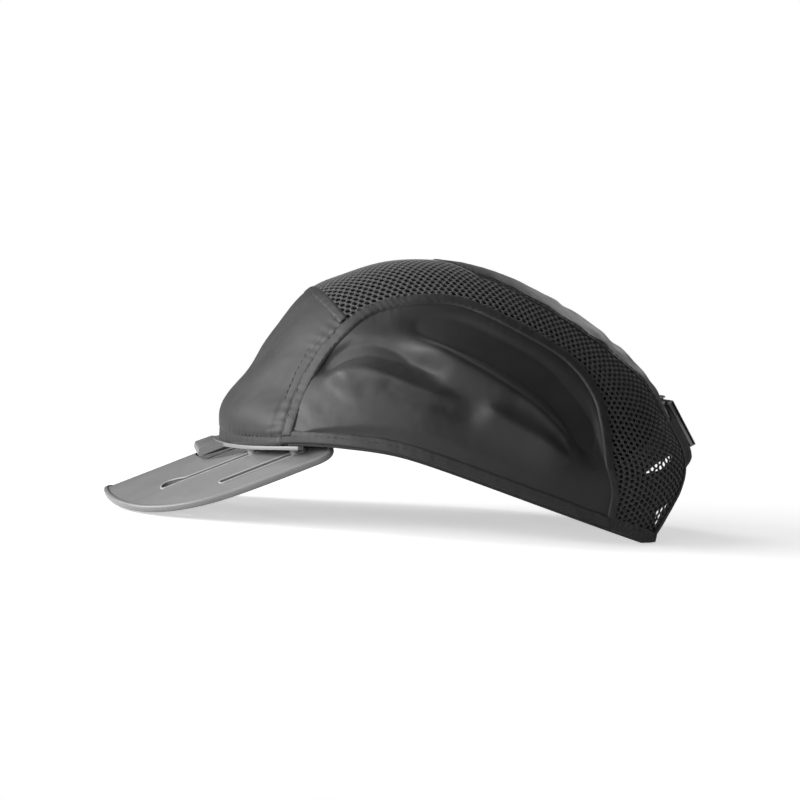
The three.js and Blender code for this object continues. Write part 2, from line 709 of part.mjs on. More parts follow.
function carrierTongue() {
  const side = new THREE.Shape(TONGUE_SIDE.map(([y, z]) => new THREE.Vector2(y, z)));
  const g = new THREE.ExtrudeGeometry(side, { depth: TONGUE_WIDTH, bevelEnabled: false });
  g.applyMatrix4(new THREE.Matrix4().set(0, 0, 1, -TONGUE_WIDTH / 2, 1, 0, 0, 0, 0, 1, 0, 0, 0, 0, 0, 1));
  return toSolid(faceOut(clean(g)));
}

function peakCarrier() {
  return fromSolid(carrierStrip().add(carrierTongue()).subtract(pinSeats()));
}

// ---- strap and buckle ---------------------------------------------------
const strapAngle = (x) => STRAP_TOP - STRAP_DROP * THREE.MathUtils.smoothstep(Math.abs(x), 0, STRAP_LEVEL_X);

// Depth of the strap's outer face: outside the crown at the buckle, inside the cloth at its ends.
function strapDepth(x) {
  const tuck = THREE.MathUtils.smoothstep(Math.abs(x), 14, 28);
  return mix(-STRAP_LIFT, STRAP_TUCK, tuck);
}

function strapSheet(from, to) {
  const xAt = (u) => mix(from, to, u);
  const place = (u, v) => {
    const half = STRAP_HALF / bandShare(xAt(u));
    return bandPoint(xAt(u), strapAngle(xAt(u)) + mix(-half, half, v));
  };
  return sheet(place, 18, 4, (u) => strapDepth(xAt(u)), (u) => strapDepth(xAt(u)) + STRAP);
}

const buckleFrame = new THREE.Group();
buckleFrame.position.set(0, BUCKLE_ORIGIN.y, BUCKLE_ORIGIN.z);
buckleFrame.rotation.x = degrees(BUCKLE_TILT);
cap.add(buckleFrame);

// A round rod or hole along the hinge's axis.
function alongHinge(radius, length, segments) {
  const g = new THREE.CylinderGeometry(radius, radius, length, segments);
  g.rotateX(Math.PI / 2);
  g.translate(HINGE_X, HINGE_Y, 0);
  return g;
}

function buckleBase() {
  const halfL = BUCKLE_LENGTH / 2;
  const halfW = BUCKLE_WIDTH / 2;
  const outer = halfW + BUCKLE_WALL;
  const { from, to, side: inset } = BUCKLE_WINDOW;
  let base = boxSolid([-halfL, 0, -outer], [halfL, BUCKLE_FLOOR, outer]);
  for (const low of [-outer, halfW]) {
    base = base.add(boxSolid([-halfL, 0, low], [BUCKLE_WALL_END, BUCKLE_WALL_TOP, low + BUCKLE_WALL]));
  }
  base = base.subtract(boxSolid([-halfL + from, -1, -halfW + inset], [-halfL + to, 3, halfW - inset]));
  return fromSolid(base.subtract(toSolid(alongHinge(HINGE_RADIUS + 0.15, 60, 16))));
}

function buckleHingePin() {
  return clean(alongHinge(HINGE_RADIUS, BUCKLE_WIDTH + 2.6, 16));
}

// Lever: a flap over the strap with a barrel round the hinge pin.
function buckleLever() {
  const halfW = BUCKLE_WIDTH / 2 - 0.5;
  const [low, high] = LEVER_LAYER;
  const flap = boxSolid([HINGE_X, low, -halfW], [BUCKLE_LENGTH / 2 - 0.6, high, halfW]);
  const barrel = toSolid(alongHinge(LEVER_BARREL, 2 * halfW, 18));
  return fromSolid(flap.add(barrel).subtract(toSolid(alongHinge(HINGE_RADIUS + 0.12, 60, 16))));
}

// ---- assembly -----------------------------------------------------------
addPiece("front_panel", sheet(frontPanelPlace, 14, 9, 0, CLOTH), "satin");
addPiece("front_seam_tape", frontSeamTape(), "mesh");
addPiece("mesh_panel", meshPanel(), "mesh");
addPiece("centre_panel", sheet(centrePanelPlace, 8, 12, 0, CLOTH), "satin");
addPiece("rear_arch_binding", rearArchBinding(), "webbing");
addPiece("hard_shell", hardShell(), "shell");
addPiece("crown_pad", crownPad(), "foam");
addPiece("rear_pad", rearPad(), "foam");
addPiece("brow_pad", browPad(), "foam");
for (const [sideName, side] of [["left", 1], ["right", -1]]) {
  addPiece(sideName + "_side_panel", sheet(sidePanelPlace(side, TAPE_WIDTH + SEAM_GAP), 18, 7, 0, CLOTH),
    "satin");
  addPiece(sideName + "_side_tape", sideTape(side), "satin");
  addPiece(sideName + "_hem_binding", hemBinding(side), "webbing");
  addPiece(sideName + "_side_pad", sidePad(side), "foam");
}

addPiece("peak_carrier", peakCarrier(), "peak");
addPiece("peak_plate", peakPlate(), "peak", peakFrame);
for (const [sideName, side] of [["left", 1], ["right", -1]]) {
  for (const [placeName, slot] of [["inner", SLOTS[0]], ["outer", SLOTS[1]]]) {
    const pin = addPiece(sideName + "_" + placeName + "_guide_pin", guidePin(), "peak", peakFrame);
    placeAtPin(pin, side, slot);
  }
}

addPiece("left_strap", strapSheet(STRAP_END_X, LEFT_STRAP_FREE_X), "webbing");
addPiece("right_strap", strapSheet(-STRAP_END_X, RIGHT_STRAP_X), "webbing");
addPiece("buckle_base", buckleBase(), "metal", buckleFrame);
addPiece("buckle_hinge_pin", buckleHingePin(), "metal", buckleFrame);
addPiece("buckle_lever", buckleLever(), "metal", buckleFrame);

cap.position.y = ORIGIN_SHIFT_Y;

export default cap;
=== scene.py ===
"""Bump cap with a sliding peak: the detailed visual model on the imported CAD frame.

All shapes are worked out in millimetres in the cap's own frame and turned into metres when a mesh is made.
+X is the wearer's left, -Y the peak, +Z up.
"""
import math

import bmesh
import bpy
import numpy as np
from mathutils import Matrix, Vector


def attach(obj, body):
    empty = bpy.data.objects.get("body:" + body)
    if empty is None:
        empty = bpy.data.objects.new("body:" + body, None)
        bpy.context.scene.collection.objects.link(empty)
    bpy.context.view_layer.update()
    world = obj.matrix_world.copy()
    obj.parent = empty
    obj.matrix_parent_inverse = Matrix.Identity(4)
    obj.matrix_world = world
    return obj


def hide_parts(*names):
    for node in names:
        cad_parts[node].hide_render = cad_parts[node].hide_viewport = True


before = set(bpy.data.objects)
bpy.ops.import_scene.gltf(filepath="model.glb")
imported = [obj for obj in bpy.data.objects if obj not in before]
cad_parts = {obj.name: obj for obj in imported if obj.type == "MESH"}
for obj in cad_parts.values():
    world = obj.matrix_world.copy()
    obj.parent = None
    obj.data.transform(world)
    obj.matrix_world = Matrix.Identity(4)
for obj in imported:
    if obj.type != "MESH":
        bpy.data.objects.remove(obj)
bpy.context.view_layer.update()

# ---- driving dimensions, in millimetres, as in the CAD --------------------
MM = 0.001
ORIGIN_SHIFT = np.array([0.0, -1.7, 0.0])
HALF_WIDTH = 88.0
ROUNDNESS = 2.3
POLE_Y, POLE_Z = 18.0, 28.0
PROFILE = [
    (-91, 20), (-90, 34), (-89.9, 50), (-78, 68.5), (-68, 86), (-52, 108.5), (-33.6, 118.8),
    (-12, 126.5), (13.4, 128.4), (38.3, 124.7), (63.7, 115.5), (89.7, 101.5), (110.9, 86),
    (121.9, 73.6), (127, 65), (133.6, 54.8), (140.3, 44.3), (142.6, 35), (141.5, 24), (138, 12),
    (133, -2), (126, -16),
]
SIDE_CLOTH, PANEL_CLOTH, TAPE_CLOTH = 1.0, 1.2, 0.9
TAPE_WIDTH = 5.0
ARCH_BINDING = 3.4
HEM_HEIGHT, HEM_FACING = 7.0, 14.0
RIM_HEIGHT, RIM_FALL, RIM_BREAK_Y, RIM_BLEND, BROW_DIP = 38.0, 0.3, -15.0, 14.0, 4.0
SIDE_SEAM = [
    (-65.5, 37), (-64, 46), (-57, 68), (-46, 87), (-29, 103), (-4, 110.5), (18, 110), (49, 98),
    (70, 86), (83, 70), (88, 52), (90, 37), (94, 22), (92, 4),
]
FRONT_SEAM_ANGLE = 129.0
CENTRE_EDGE = [(96, 0), (93, 20), (86, 36), (70, 43), (50, 45), (36, 43), (24, 38.5), (14.4, 35)]
ARCH_EDGE = [(19.6, 0), (19.2, 13), (17, 23), (12.5, 30), (6, 34.5), (0, 38.5), (-8, 45.5), (-16.5, 51)]
MM_PER_DEGREE = 2.07
SHELL_FOOT = [
    (-90, 46), (-60, 54), (0, 54), (60, 40), (86, 25), (97, 39), (106, 46), (114, 50), (128, 68),
]
SHELL_OUT, SHELL_IN, SHELL_WIDEST = 3.2, 5.6, 84.5

SLIDE_ANGLE = 25.0
PEAK_ORIGIN = (0.0, -99.7, 25.6)
ARCH_RADIUS = 170.0
PLATE, PLATE_BEVEL = 2.2, 0.3
PEAK_TIP, WING_END, WING_X = 49.0, 58.0, 74.5
BAY_FRONT = -0.5
SLOT_WIDTH = 2.5
SLOTS = [(43.5, -22.0, 28.5), (61.0, 4.0, 46.0)]
CARRIER, CARRIER_END_X, CARRIER_TURN = 1.7, 70.0, 62.0
LEDGE_OUT, FLANGE_AT_ENDS, FLANGE_AT_MIDDLE = 2.6, -1.0, -2.2
TONGUE_HALF = 28.0
TONGUE_SIDE = [
    (-87.5, 31.9), (-100.4, 25.9), (-100.8, 26.6), (-100.7, 29.0), (-100.2, 29.7), (-92.5, 33), (-87.5, 33),
]

STRAP_TOP, STRAP_DROP, STRAP_LEVEL_X, STRAP_HALF = 12.9, 16.9, 72.0, 5.3
STRAP_END_X, LEFT_STRAP_FREE_X, RIGHT_STRAP_X = 74.0, -8.0, -14.4
STRAP, STRAP_LIFT, STRAP_TUCK = 1.0, 3.6, 2.0
BUCKLE_TILT = 32.5
BUCKLE_ORIGIN = (0.0, 134.4, 53.9)
BUCKLE_WIDTH, BUCKLE_LENGTH, BUCKLE_WALL, BUCKLE_FLOOR = 26.0, 28.0, 1.1, 0.9
HINGE_X, HINGE_Y, HINGE_RADIUS, LEVER_BARREL = -9.0, 5.3, 1.0, 1.6

MESH_PITCH = 3.4
MESH_HOLE = (0.69, 0.66)
MESH_EDGE_X = 86.5
STITCH, STITCH_GAP, THREAD, STITCH_DIP = 2.3, 0.9, 0.2, 0.25


# ---- curves and the crown surface ------------------------------------------
def catmull_rom(points, per_span=24):
    p = np.array(points, float)
    p = np.vstack([2 * p[0] - p[1], p, 2 * p[-1] - p[-2]])
    t = np.linspace(0, 1, per_span, endpoint=False)[:, None]
    rows = []
    for a, b, c, d in zip(p, p[1:], p[2:], p[3:]):
        rows.append(0.5 * (2 * b + (c - a) * t + (2 * a - 5 * b + 4 * c - d) * t**2
                           + (3 * b - a - 3 * c + d) * t**3))
    return np.vstack(rows + [p[-2:-1]])


class Line:
    """A smooth line through points, read by share of its length from 0 to 1."""

    def __init__(self, points):
        self.p = catmull_rom(points)
        steps = np.linalg.norm(np.diff(self.p, axis=0), axis=1)
        self.s = np.concatenate([[0], np.cumsum(steps)])
        self.length = self.s[-1]

    def at(self, share):
        s = np.asarray(share, float) * self.length
        return np.stack([np.interp(s, self.s, column) for column in self.p.T], -1)

    def tangent(self, share):
        d = self.at(np.asarray(share) + 1e-3) - self.at(np.asarray(share) - 1e-3)
        return d / np.maximum(np.linalg.norm(d, axis=-1, keepdims=True), 1e-12)


_outline = catmull_rom(PROFILE)
_angles = np.degrees(np.arctan2(_outline[:, 1] - POLE_Z, _outline[:, 0] - POLE_Y))
_angles = np.where(_angles < -90, _angles + 360, _angles)
_radii = np.hypot(_outline[:, 0] - POLE_Y, _outline[:, 1] - POLE_Z)
_order = np.argsort(_angles)
PROFILE_ANGLES, PROFILE_RADII = _angles[_order], _radii[_order]


def angle_of(y, z):
    angle = np.degrees(np.arctan2(z - POLE_Z, y - POLE_Y))
    return np.where(angle < -90, angle + 360, angle)


def radius_at(angle):
    return np.interp(angle, PROFILE_ANGLES, PROFILE_RADII)


def crown_field(p):
    y, z = p[..., 1], p[..., 2]
    share = np.hypot(y - POLE_Y, z - POLE_Z) / radius_at(angle_of(y, z))
    return np.abs(p[..., 0] / HALF_WIDTH) ** ROUNDNESS + share**ROUNDNESS - 1


def crown_normal(p, step=1.5):
    slopes = []
    for axis in range(3):
        offset = np.zeros(3)
        offset[axis] = step
        slopes.append(crown_field(p + offset) - crown_field(p - offset))
    n = np.stack(slopes, -1)
    return n / np.linalg.norm(n, axis=-1, keepdims=True)


def side_point(y, z, side):
    y, z = np.asarray(y, float), np.asarray(z, float)
    share = np.hypot(y - POLE_Y, z - POLE_Z) / radius_at(angle_of(y, z))
    x = HALF_WIDTH * np.maximum(1 - share**ROUNDNESS, 0) ** (1 / ROUNDNESS)
    return np.stack([side * x, y + 0 * x, z + 0 * x], -1)


def band_share(x):
    """Size of the crown's section of half-width x, as a share of the middle one."""
    return (1 - np.abs(x / HALF_WIDTH) ** ROUNDNESS) ** (1 / ROUNDNESS)


def band_point(x, angle):
    """A point of the crown by its half-width and its angle round the temple."""
    x, angle = np.asarray(x, float), np.asarray(angle, float)
    radius = band_share(x) * radius_at(angle)
    turn = np.radians(angle)
    return np.stack([x + 0 * turn, POLE_Y + radius * np.cos(turn), POLE_Z + radius * np.sin(turn)], -1)


def smoothstep(x, low, high):
    t = np.clip((np.asarray(x, float) - low) / (high - low), 0, 1)
    return t * t * (3 - 2 * t)


def mix(a, b, t):
    return a + (b - a) * t


def rim_height(y):
    past = np.asarray(y, float) - RIM_BREAK_Y
    fall = 0.5 * (past + np.sqrt(past**2 + RIM_BLEND**2))
    return RIM_HEIGHT - RIM_FALL * fall - BROW_DIP * smoothstep(-y, 42, 90)


def foot_angle(x, height_at, at_front):
    """Angle round the temple at which the section of half-width x comes down to height_at(y)."""
    x = np.asarray(x, float)
    inside = np.full(x.shape, 90.0)
    outside = np.full(x.shape, 200.0 if at_front else -40.0)
    for _ in range(30):
        middle = (inside + outside) / 2
        p = band_point(x, middle)
        above = p[..., 2] > height_at(p[..., 1])
        inside = np.where(above, middle, inside)
        outside = np.where(above, outside, middle)
    return inside


side_seam = Line(SIDE_SEAM)
arch_left = [(x, angle * MM_PER_DEGREE) for angle, x in ARCH_EDGE]
arch_line = Line([(-x, h) for x, h in arch_left[:0:-1]] + arch_left)
centre_edge = np.array(sorted(CENTRE_EDGE), float)


def seam_point(share, outward=0.0):
    """Side-view point (y, z) of the side seam, moved away from the panel's middle."""
    p = side_seam.at(share)
    d = p - np.array([20.0, 50.0])
    return p + d / np.linalg.norm(d, axis=-1, keepdims=True) * np.asarray(outward)[..., None]


def arch_point(share, outward):
    """Half-width and angle of a point of the rear arch, moved out of the opening."""
    p, t = arch_line.at(share), arch_line.tangent(share)
    return p[..., 0] - t[..., 1] * outward, (p[..., 1] + t[..., 0] * outward) / MM_PER_DEGREE


def front_seam_share():
    shares = np.linspace(0.1, 0.5, 400)
    p = side_point(*np.moveaxis(seam_point(shares, 0.4), -1, 0), 1)
    return shares[np.argmin(np.abs(angle_of(p[:, 1], p[:, 2]) - FRONT_SEAM_ANGLE))]


FRONT_SEAM_SHARE = front_seam_share()


def ripples(u, v, seed, low, high, count=14):
    """Smooth random relief between about -1 and 1: a sum of plane waves with lengths from low to high."""
    random = np.random.default_rng(seed)
    total = 0
    for _ in range(count):
        turn, phase = random.uniform(0, 2 * np.pi, 2)
        k = 2 * np.pi / random.uniform(low, high)
        total = total + np.cos(k * (u * np.cos(turn) + v * np.sin(turn)) + phase)
    return total / math.sqrt(count) / 1.4


# ---- meshes -----------------------------------------------------------------
def make_piece(name, vertices, faces, material, body="crown", uv=None, smooth_angle=None):
    """A new object from points in mm and faces, riding on a body. uv holds one (u, v) per vertex."""
    mesh = bpy.data.meshes.new(name)
    points = (np.asarray(vertices, float) + ORIGIN_SHIFT) * MM
    points[:, 2] = np.maximum(points[:, 2], 0.0)
    mesh.from_pydata(points.tolist(), [], [list(map(int, f)) for f in faces])
    mesh.validate()
    bm = bmesh.new()
    bm.from_mesh(mesh)
    bmesh.ops.recalc_face_normals(bm, faces=bm.faces)
    bm.to_mesh(mesh)
    bm.free()
    if uv is not None:
        layer = mesh.uv_layers.new(name="cloth")
        index = np.empty(len(mesh.loops), int)
        mesh.loops.foreach_get("vertex_index", index)
        layer.data.foreach_set("uv", (np.asarray(uv, float)[index]).ravel())
    mesh.shade_smooth()
    if smooth_angle is not None:
        mesh.set_sharp_from_angle(angle=math.radians(smooth_angle))
    mesh.materials.append(material)
    obj = bpy.data.objects.new(name, mesh)
    bpy.context.scene.collection.objects.link(obj)
    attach(obj, body)
    return obj


def grid_faces(columns, rows, start=0):
    i, j = np.meshgrid(np.arange(columns - 1), np.arange(rows - 1), indexing="ij")
    a = (start + i * rows + j).ravel()
    return np.stack([a, a + rows, a + rows + 1, a + 1], -1)


def closed_grid(outer, inner):
    """Vertices and faces of a closed sheet between two grids of points."""
    columns, rows = outer.shape[:2]
    count = columns * rows
    vertices = np.concatenate([outer.reshape(-1, 3), inner.reshape(-1, 3)])
    faces = [grid_faces(columns, rows), grid_faces(columns, rows, count)[:, ::-1]]
    at = np.arange(count).reshape(columns, rows)
    for edge in (at[0], at[-1][::-1], at[::-1, 0], at[:, -1]):
        faces.append(np.stack([edge[:-1], edge[1:], edge[1:] + count, edge[:-1] + count], -1))
    return vertices, np.concatenate(faces)


def flat_lengths(points):
    """Real lengths along both directions of a grid of points, in mm, for the weave."""
    du = np.linalg.norm(np.diff(points, axis=0), axis=-1)
    dv = np.linalg.norm(np.diff(points, axis=1), axis=-1)
    u = np.zeros(points.shape[:2])
    v = np.zeros(points.shape[:2])
    u[1:] = np.cumsum(du.mean(1))[:, None]
    v[:, 1:] = np.cumsum(dv, axis=1)
    return np.stack([u, v], -1)


def cloth_piece(name, outer, depth, material, thickness):
    """A closed cloth sheet: outer is a grid of crown points, depth how far each lies inwards."""
    n = crown_normal(outer)
    depth = np.broadcast_to(depth, outer.shape[:2])[..., None]
    top = outer - n * depth
    vertices, faces = closed_grid(top, top - n * thickness)
    uv = flat_lengths(top).reshape(-1, 2)
    return make_piece(name, vertices, faces, material, uv=np.concatenate([uv, uv]))


def declare_cloth(grid):
    """Works out the flat lengths along a cloth panel's grid of points; the result is not kept."""
    uv = flat_lengths(grid)


def ring_faces(count, sides, closed):
    """Faces between neighbouring rings of points."""
    faces = []
    for i in range(count if closed else count - 1):
        j = (i + 1) % count
        for m in range(sides):
            o = (m + 1) % sides
            faces.append((i * sides + m, j * sides + m, j * sides + o, i * sides + o))
    return faces


def loft(rings):
    """Vertices and faces of a solid through a row of rings, closed at both ends."""
    count, sides = rings.shape[:2]
    ends = [tuple(range(sides)), tuple((count - 1) * sides + m for m in range(sides))]
    return rings.reshape(-1, 3), ring_faces(count, sides, False) + ends


def tube(path, section, closed, ups):
    """Sweeps a section of (across, up) points along a path, with an up direction at each path point."""
    if closed:
        ahead, behind = np.roll(path, -1, 0), np.roll(path, 1, 0)
    else:
        ahead = np.vstack([path[1:], path[-1:]])
        behind = np.vstack([path[:1], path[:-1]])
    t = ahead - behind
    t /= np.maximum(np.linalg.norm(t, axis=1, keepdims=True), 1e-12)
    across = np.cross(ups, t)
    across /= np.maximum(np.linalg.norm(across, axis=1, keepdims=True), 1e-12)
    up = np.cross(t, across)
    rings = path[:, None] + across[:, None] * section[None, :, :1] + up[:, None] * section[None, :, 1:]
    if closed:
        return rings.reshape(-1, 3), ring_faces(len(path), len(section), True)
    return loft(rings)


def ellipse(half_width, half_height, count, power=1.0):
    """Points round an ellipse; a power below 1 squares it off."""
    a = np.linspace(0, 2 * np.pi, count, endpoint=False)
    c, s = np.cos(a), np.sin(a)
    return np.stack([half_width * np.sign(c) * np.abs(c) ** power,
                     half_height * np.sign(s) * np.abs(s) ** power], -1)


def join_parts(parts):
    """Joins (vertices, faces) pairs into one."""
    vertices, faces, start = [], [], 0
    for v, f in parts:
        vertices.append(np.asarray(v, float))
        faces += [[int(i) + start for i in face] for face in f]
        start += len(v)
    return np.concatenate(vertices), faces


def resample(points, step):
    points = np.asarray(points, float)
    s = np.concatenate([[0], np.cumsum(np.linalg.norm(np.diff(points, axis=0), axis=1))])
    at = np.linspace(0, s[-1], max(int(round(s[-1] / step)), 1) + 1)
    return np.stack([np.interp(at, s, column) for column in points.T], -1)


def stitch_row(points, lift):
    """A row of stitches that lies on crown points: each one dips into the cloth at both ends."""
    points = resample(points, STITCH + STITCH_GAP)
    parts = []
    for a, b in zip(points[:-1], points[1:]):
        end = mix(a, b, STITCH / (STITCH + STITCH_GAP))
        shares = np.linspace(0, 1, 5)
        path = mix(a[None], end[None], shares[:, None])
        n = crown_normal(path)
        path = path + n * (lift + STITCH_DIP * np.sin(np.pi * shares) - STITCH_DIP)[:, None]
        parts.append(tube(path, ellipse(THREAD, THREAD, 6), False, n))
    return join_parts(parts)


def stitches(name, rows, lift):
    """Rows of stitches as one piece; lift is how far they stand off the crown."""
    vertices, faces = join_parts([stitch_row(row, lift) for row in rows])
    return make_piece(name, vertices, faces, SEWING_THREAD)


# ---- materials --------------------------------------------------------------
THREADS_PER_MM = 2.2
YARN_GRAIN = 900.0
PLASTIC_GRAIN = 2600.0


class Nodes:
    """Small helper that builds one node material."""

    def __init__(self, name):
        self.material = bpy.data.materials.new(name)
        self.material.use_nodes = True
        self.tree = self.material.node_tree
        self.tree.nodes.clear()
        self.out = self.add("ShaderNodeOutputMaterial")
        self.shader = self.add("ShaderNodeBsdfPrincipled")
        self.link(self.shader, "BSDF", self.out, "Surface")
        self.bump_normal = None

    def add(self, kind, **values):
        node = self.tree.nodes.new(kind)
        for key, value in values.items():
            if key in node.inputs:
                node.inputs[key].default_value = value
            else:
                setattr(node, key, value)
        return node

    def link(self, a, out, b, into):
        self.tree.links.new(a.outputs[out], b.inputs[into])

    def coordinates(self, uv):
        node = self.add("ShaderNodeTexCoord")
        return node, "UV" if uv else "Object"

    def noise(self, scale, detail=3.0, uv=False, stretch=None):
        """Noise with features of about 1/scale mm (uv) or 1/scale m (object)."""
        source, socket = self.coordinates(uv)
        node = self.add("ShaderNodeTexNoise", Scale=scale, Detail=detail)
        if stretch:
            mapping = self.add("ShaderNodeMapping")
            mapping.inputs["Scale"].default_value = stretch
            self.link(source, socket, mapping, "Vector")
            self.link(mapping, "Vector", node, "Vector")
        else:
            self.link(source, socket, node, "Vector")
        return node, "Fac"

    def ramp(self, source, stops):
        node = self.add("ShaderNodeValToRGB")
        elements = node.color_ramp.elements
        while len(elements) < len(stops):
            elements.new(0.5)
        for element, (position, value) in zip(elements, stops):
            element.position = position
            element.color = (*value, 1) if hasattr(value, "__len__") else (value, value, value, 1)
        self.link(*source, node, "Fac")
        return node, "Color"

    def wave(self, per_mm, direction, uv=True):
        source, socket = self.coordinates(uv)
        node = self.add("ShaderNodeTexWave", Scale=per_mm, Distortion=0.4)
        node.inputs["Detail Scale"].default_value = 1.5
        node.bands_direction = direction
        self.link(source, socket, node, "Vector")
        return node, "Fac"

    def maths(self, operation, a, b):
        node = self.add("ShaderNodeMath", operation=operation)
        for socket, value in zip((0, 1), (a, b)):
            if isinstance(value, tuple):
                self.tree.links.new(value[0].outputs[value[1]], node.inputs[socket])
            else:
                node.inputs[socket].default_value = value
        return node, "Value"

    def bump(self, source, strength, distance):
        node = self.add("ShaderNodeBump", Strength=strength, Distance=distance)
        self.link(*source, node, "Height")
        if self.bump_normal is not None:
            self.link(self.bump_normal, "Normal", node, "Normal")
        self.bump_normal = node
        self.link(node, "Normal", self.shader, "Normal")

    def set(self, **values):
        for key, value in values.items():
            socket = self.shader.inputs[key.replace("_", " ")]
            if isinstance(value, tuple) and isinstance(value[0], bpy.types.Node):
                self.link(*value, self.shader, socket.name)
            else:
                socket.default_value = value


def satin_material(name, dark, light, roughness, sheen=0.12):
    """Closely woven nylon: a fine cross weave, slight colour drift, a soft sheen."""
    n = Nodes(name)
    drift = n.ramp(n.noise(0.03, 4, uv=True), [(0.35, dark), (0.7, light)])
    n.set(Base_Color=drift)
    rough = n.ramp(n.noise(0.12, 4, uv=True), [(0.3, roughness - 0.05), (0.7, roughness + 0.07)])
    n.set(Roughness=rough, Sheen_Weight=sheen, Sheen_Roughness=0.4, Specular_IOR_Level=0.55)
    n.shader.inputs["Sheen Tint"].default_value = (0.8, 0.8, 0.82, 1)
    cross = n.maths("ADD", n.wave(THREADS_PER_MM, "X"), n.wave(THREADS_PER_MM, "Y"))
    n.bump(cross, 0.12, 0.00008)
    n.bump(n.noise(0.18, 3, uv=True), 0.10, 0.0005)
    return n.material


def webbing_material(name, dark, light, ribs=0.55):
    """Ribbed black webbing and binding tape."""
    n = Nodes(name)
    rib = n.wave(ribs, "Y")
    yarn = n.wave(ribs * 2.4, "X")
    n.set(Base_Color=n.ramp(n.maths("MULTIPLY", rib, n.noise(0.8, 3, uv=True)), [(0.1, dark), (0.6, light)]))
    n.set(Roughness=n.ramp(n.noise(0.5, 3, uv=True), [(0.3, 0.62), (0.7, 0.82)]),
          Sheen_Weight=0.3, Sheen_Roughness=0.5)
    n.bump(n.maths("ADD", rib, n.maths("MULTIPLY", yarn, 0.5)), 0.5, 0.0003)
    return n.material


def thread_material(name, dark, light, sheen):
    """Twisted polyester yarn, for the open mesh and the stitching."""
    n = Nodes(name)
    n.set(Base_Color=n.ramp(n.noise(YARN_GRAIN, 3), [(0.3, dark), (0.7, light)]))
    n.set(Roughness=n.ramp(n.noise(YARN_GRAIN * 0.4, 2), [(0.3, 0.5), (0.7, 0.7)]),
          Sheen_Weight=sheen, Sheen_Roughness=0.5)
    n.bump(n.noise(YARN_GRAIN * 2, 2), 0.4, 0.0002)
    return n.material


def plastic_material(name, dark, light, roughness, specular=0.5, coat=0.0):
    """Moulded plastic: a very fine grain, faint flow marks and scuffs."""
    n = Nodes(name)
    n.set(Base_Color=n.ramp(n.noise(28, 4), [(0.3, dark), (0.75, light)]))
    scuff = n.noise(180, 6, stretch=(1.0, 0.25, 1.0))
    n.set(Roughness=n.ramp(scuff, [(0.35, roughness - 0.05), (0.7, roughness + 0.09)]),
          Specular_IOR_Level=specular, Coat_Weight=coat, Coat_Roughness=0.3)
    n.bump(n.noise(PLASTIC_GRAIN, 2), 0.16, 0.00008)
    n.bump(n.noise(90, 3), 0.12, 0.0004)
    return n.material


def metal_material(name, tint, roughness):
    """Brushed nickel-plated steel with fine hairlines."""
    n = Nodes(name)
    hair = n.noise(420, 5, stretch=(0.06, 1.0, 1.0))
    n.set(Base_Color=n.ramp(hair, [(0.3, [c * 0.75 for c in tint]), (0.7, tint)]))
    n.set(Metallic=1.0, Anisotropic=0.4,
          Roughness=n.ramp(hair, [(0.3, roughness - 0.07), (0.7, roughness + 0.08)]))
    n.bump(hair, 0.18, 0.00015)
    return n.material


def foam_material(name, dark, light):
    """Closed-cell foam skinned with brushed knit."""
    n = Nodes(name)
    n.set(Base_Color=n.ramp(n.noise(300, 4), [(0.3, dark), (0.7, light)]),
          Roughness=0.92, Sheen_Weight=0.45, Sheen_Roughness=0.6)
    cells = n.add("ShaderNodeTexVoronoi", Scale=900.0)
    source, socket = n.coordinates(False)
    n.link(source, socket, cells, "Vector")
    n.bump((cells, "Distance"), 0.5, 0.0004)
    return n.material


SATIN = satin_material("satin_cloth", 0.016, 0.022, roughness=0.54)
# Darker copy of the crown satin for the back panel: its lower colour is painted shade.
SATIN_PAINTED_SHADE = satin_material("satin_cloth_painted_shade", 0.012, 0.018, roughness=0.46, sheen=0.08)
# Lighter copy of the crown satin for the seam tapes and hem bands: its raised colour is a painted highlight.
SATIN_PAINTED_HIGHLIGHT = satin_material("satin_tape_painted_highlight", 0.018, 0.025, roughness=0.55)
MESH_THREAD = thread_material("mesh_thread", 0.022, 0.036, sheen=0.3)
SEWING_THREAD = thread_material("sewing_thread", 0.006, 0.014, sheen=0.1)
BINDING = webbing_material("black_binding", 0.006, 0.014, ribs=0.5)
WEBBING = webbing_material("black_webbing", 0.006, 0.016)
SEAM_BAND = satin_material("seam_band", 0.015, 0.022, roughness=0.5)
SHELL = plastic_material("black_shell", 0.003, 0.006, 0.65, specular=0.2)
PEAK = plastic_material("grey_plastic", 0.19, 0.23, 0.34, coat=0.2)
# Lighter copy of the peak's grey plastic for the slot lips and guide pins: a painted highlight.
PEAK_PAINTED_HIGHLIGHT = plastic_material("grey_plastic_painted_highlight", 0.32, 0.36, 0.34, coat=0.15)
PEAK_LEDGE = plastic_material("grey_plastic_ledge", 0.20, 0.24, 0.4, coat=0.1)
FOAM = foam_material("brushed_foam", 0.014, 0.024)
METAL = metal_material("brushed_nickel", (0.80, 0.80, 0.82), 0.30)
METAL_DARK = metal_material("dark_nickel", (0.32, 0.32, 0.33), 0.36)


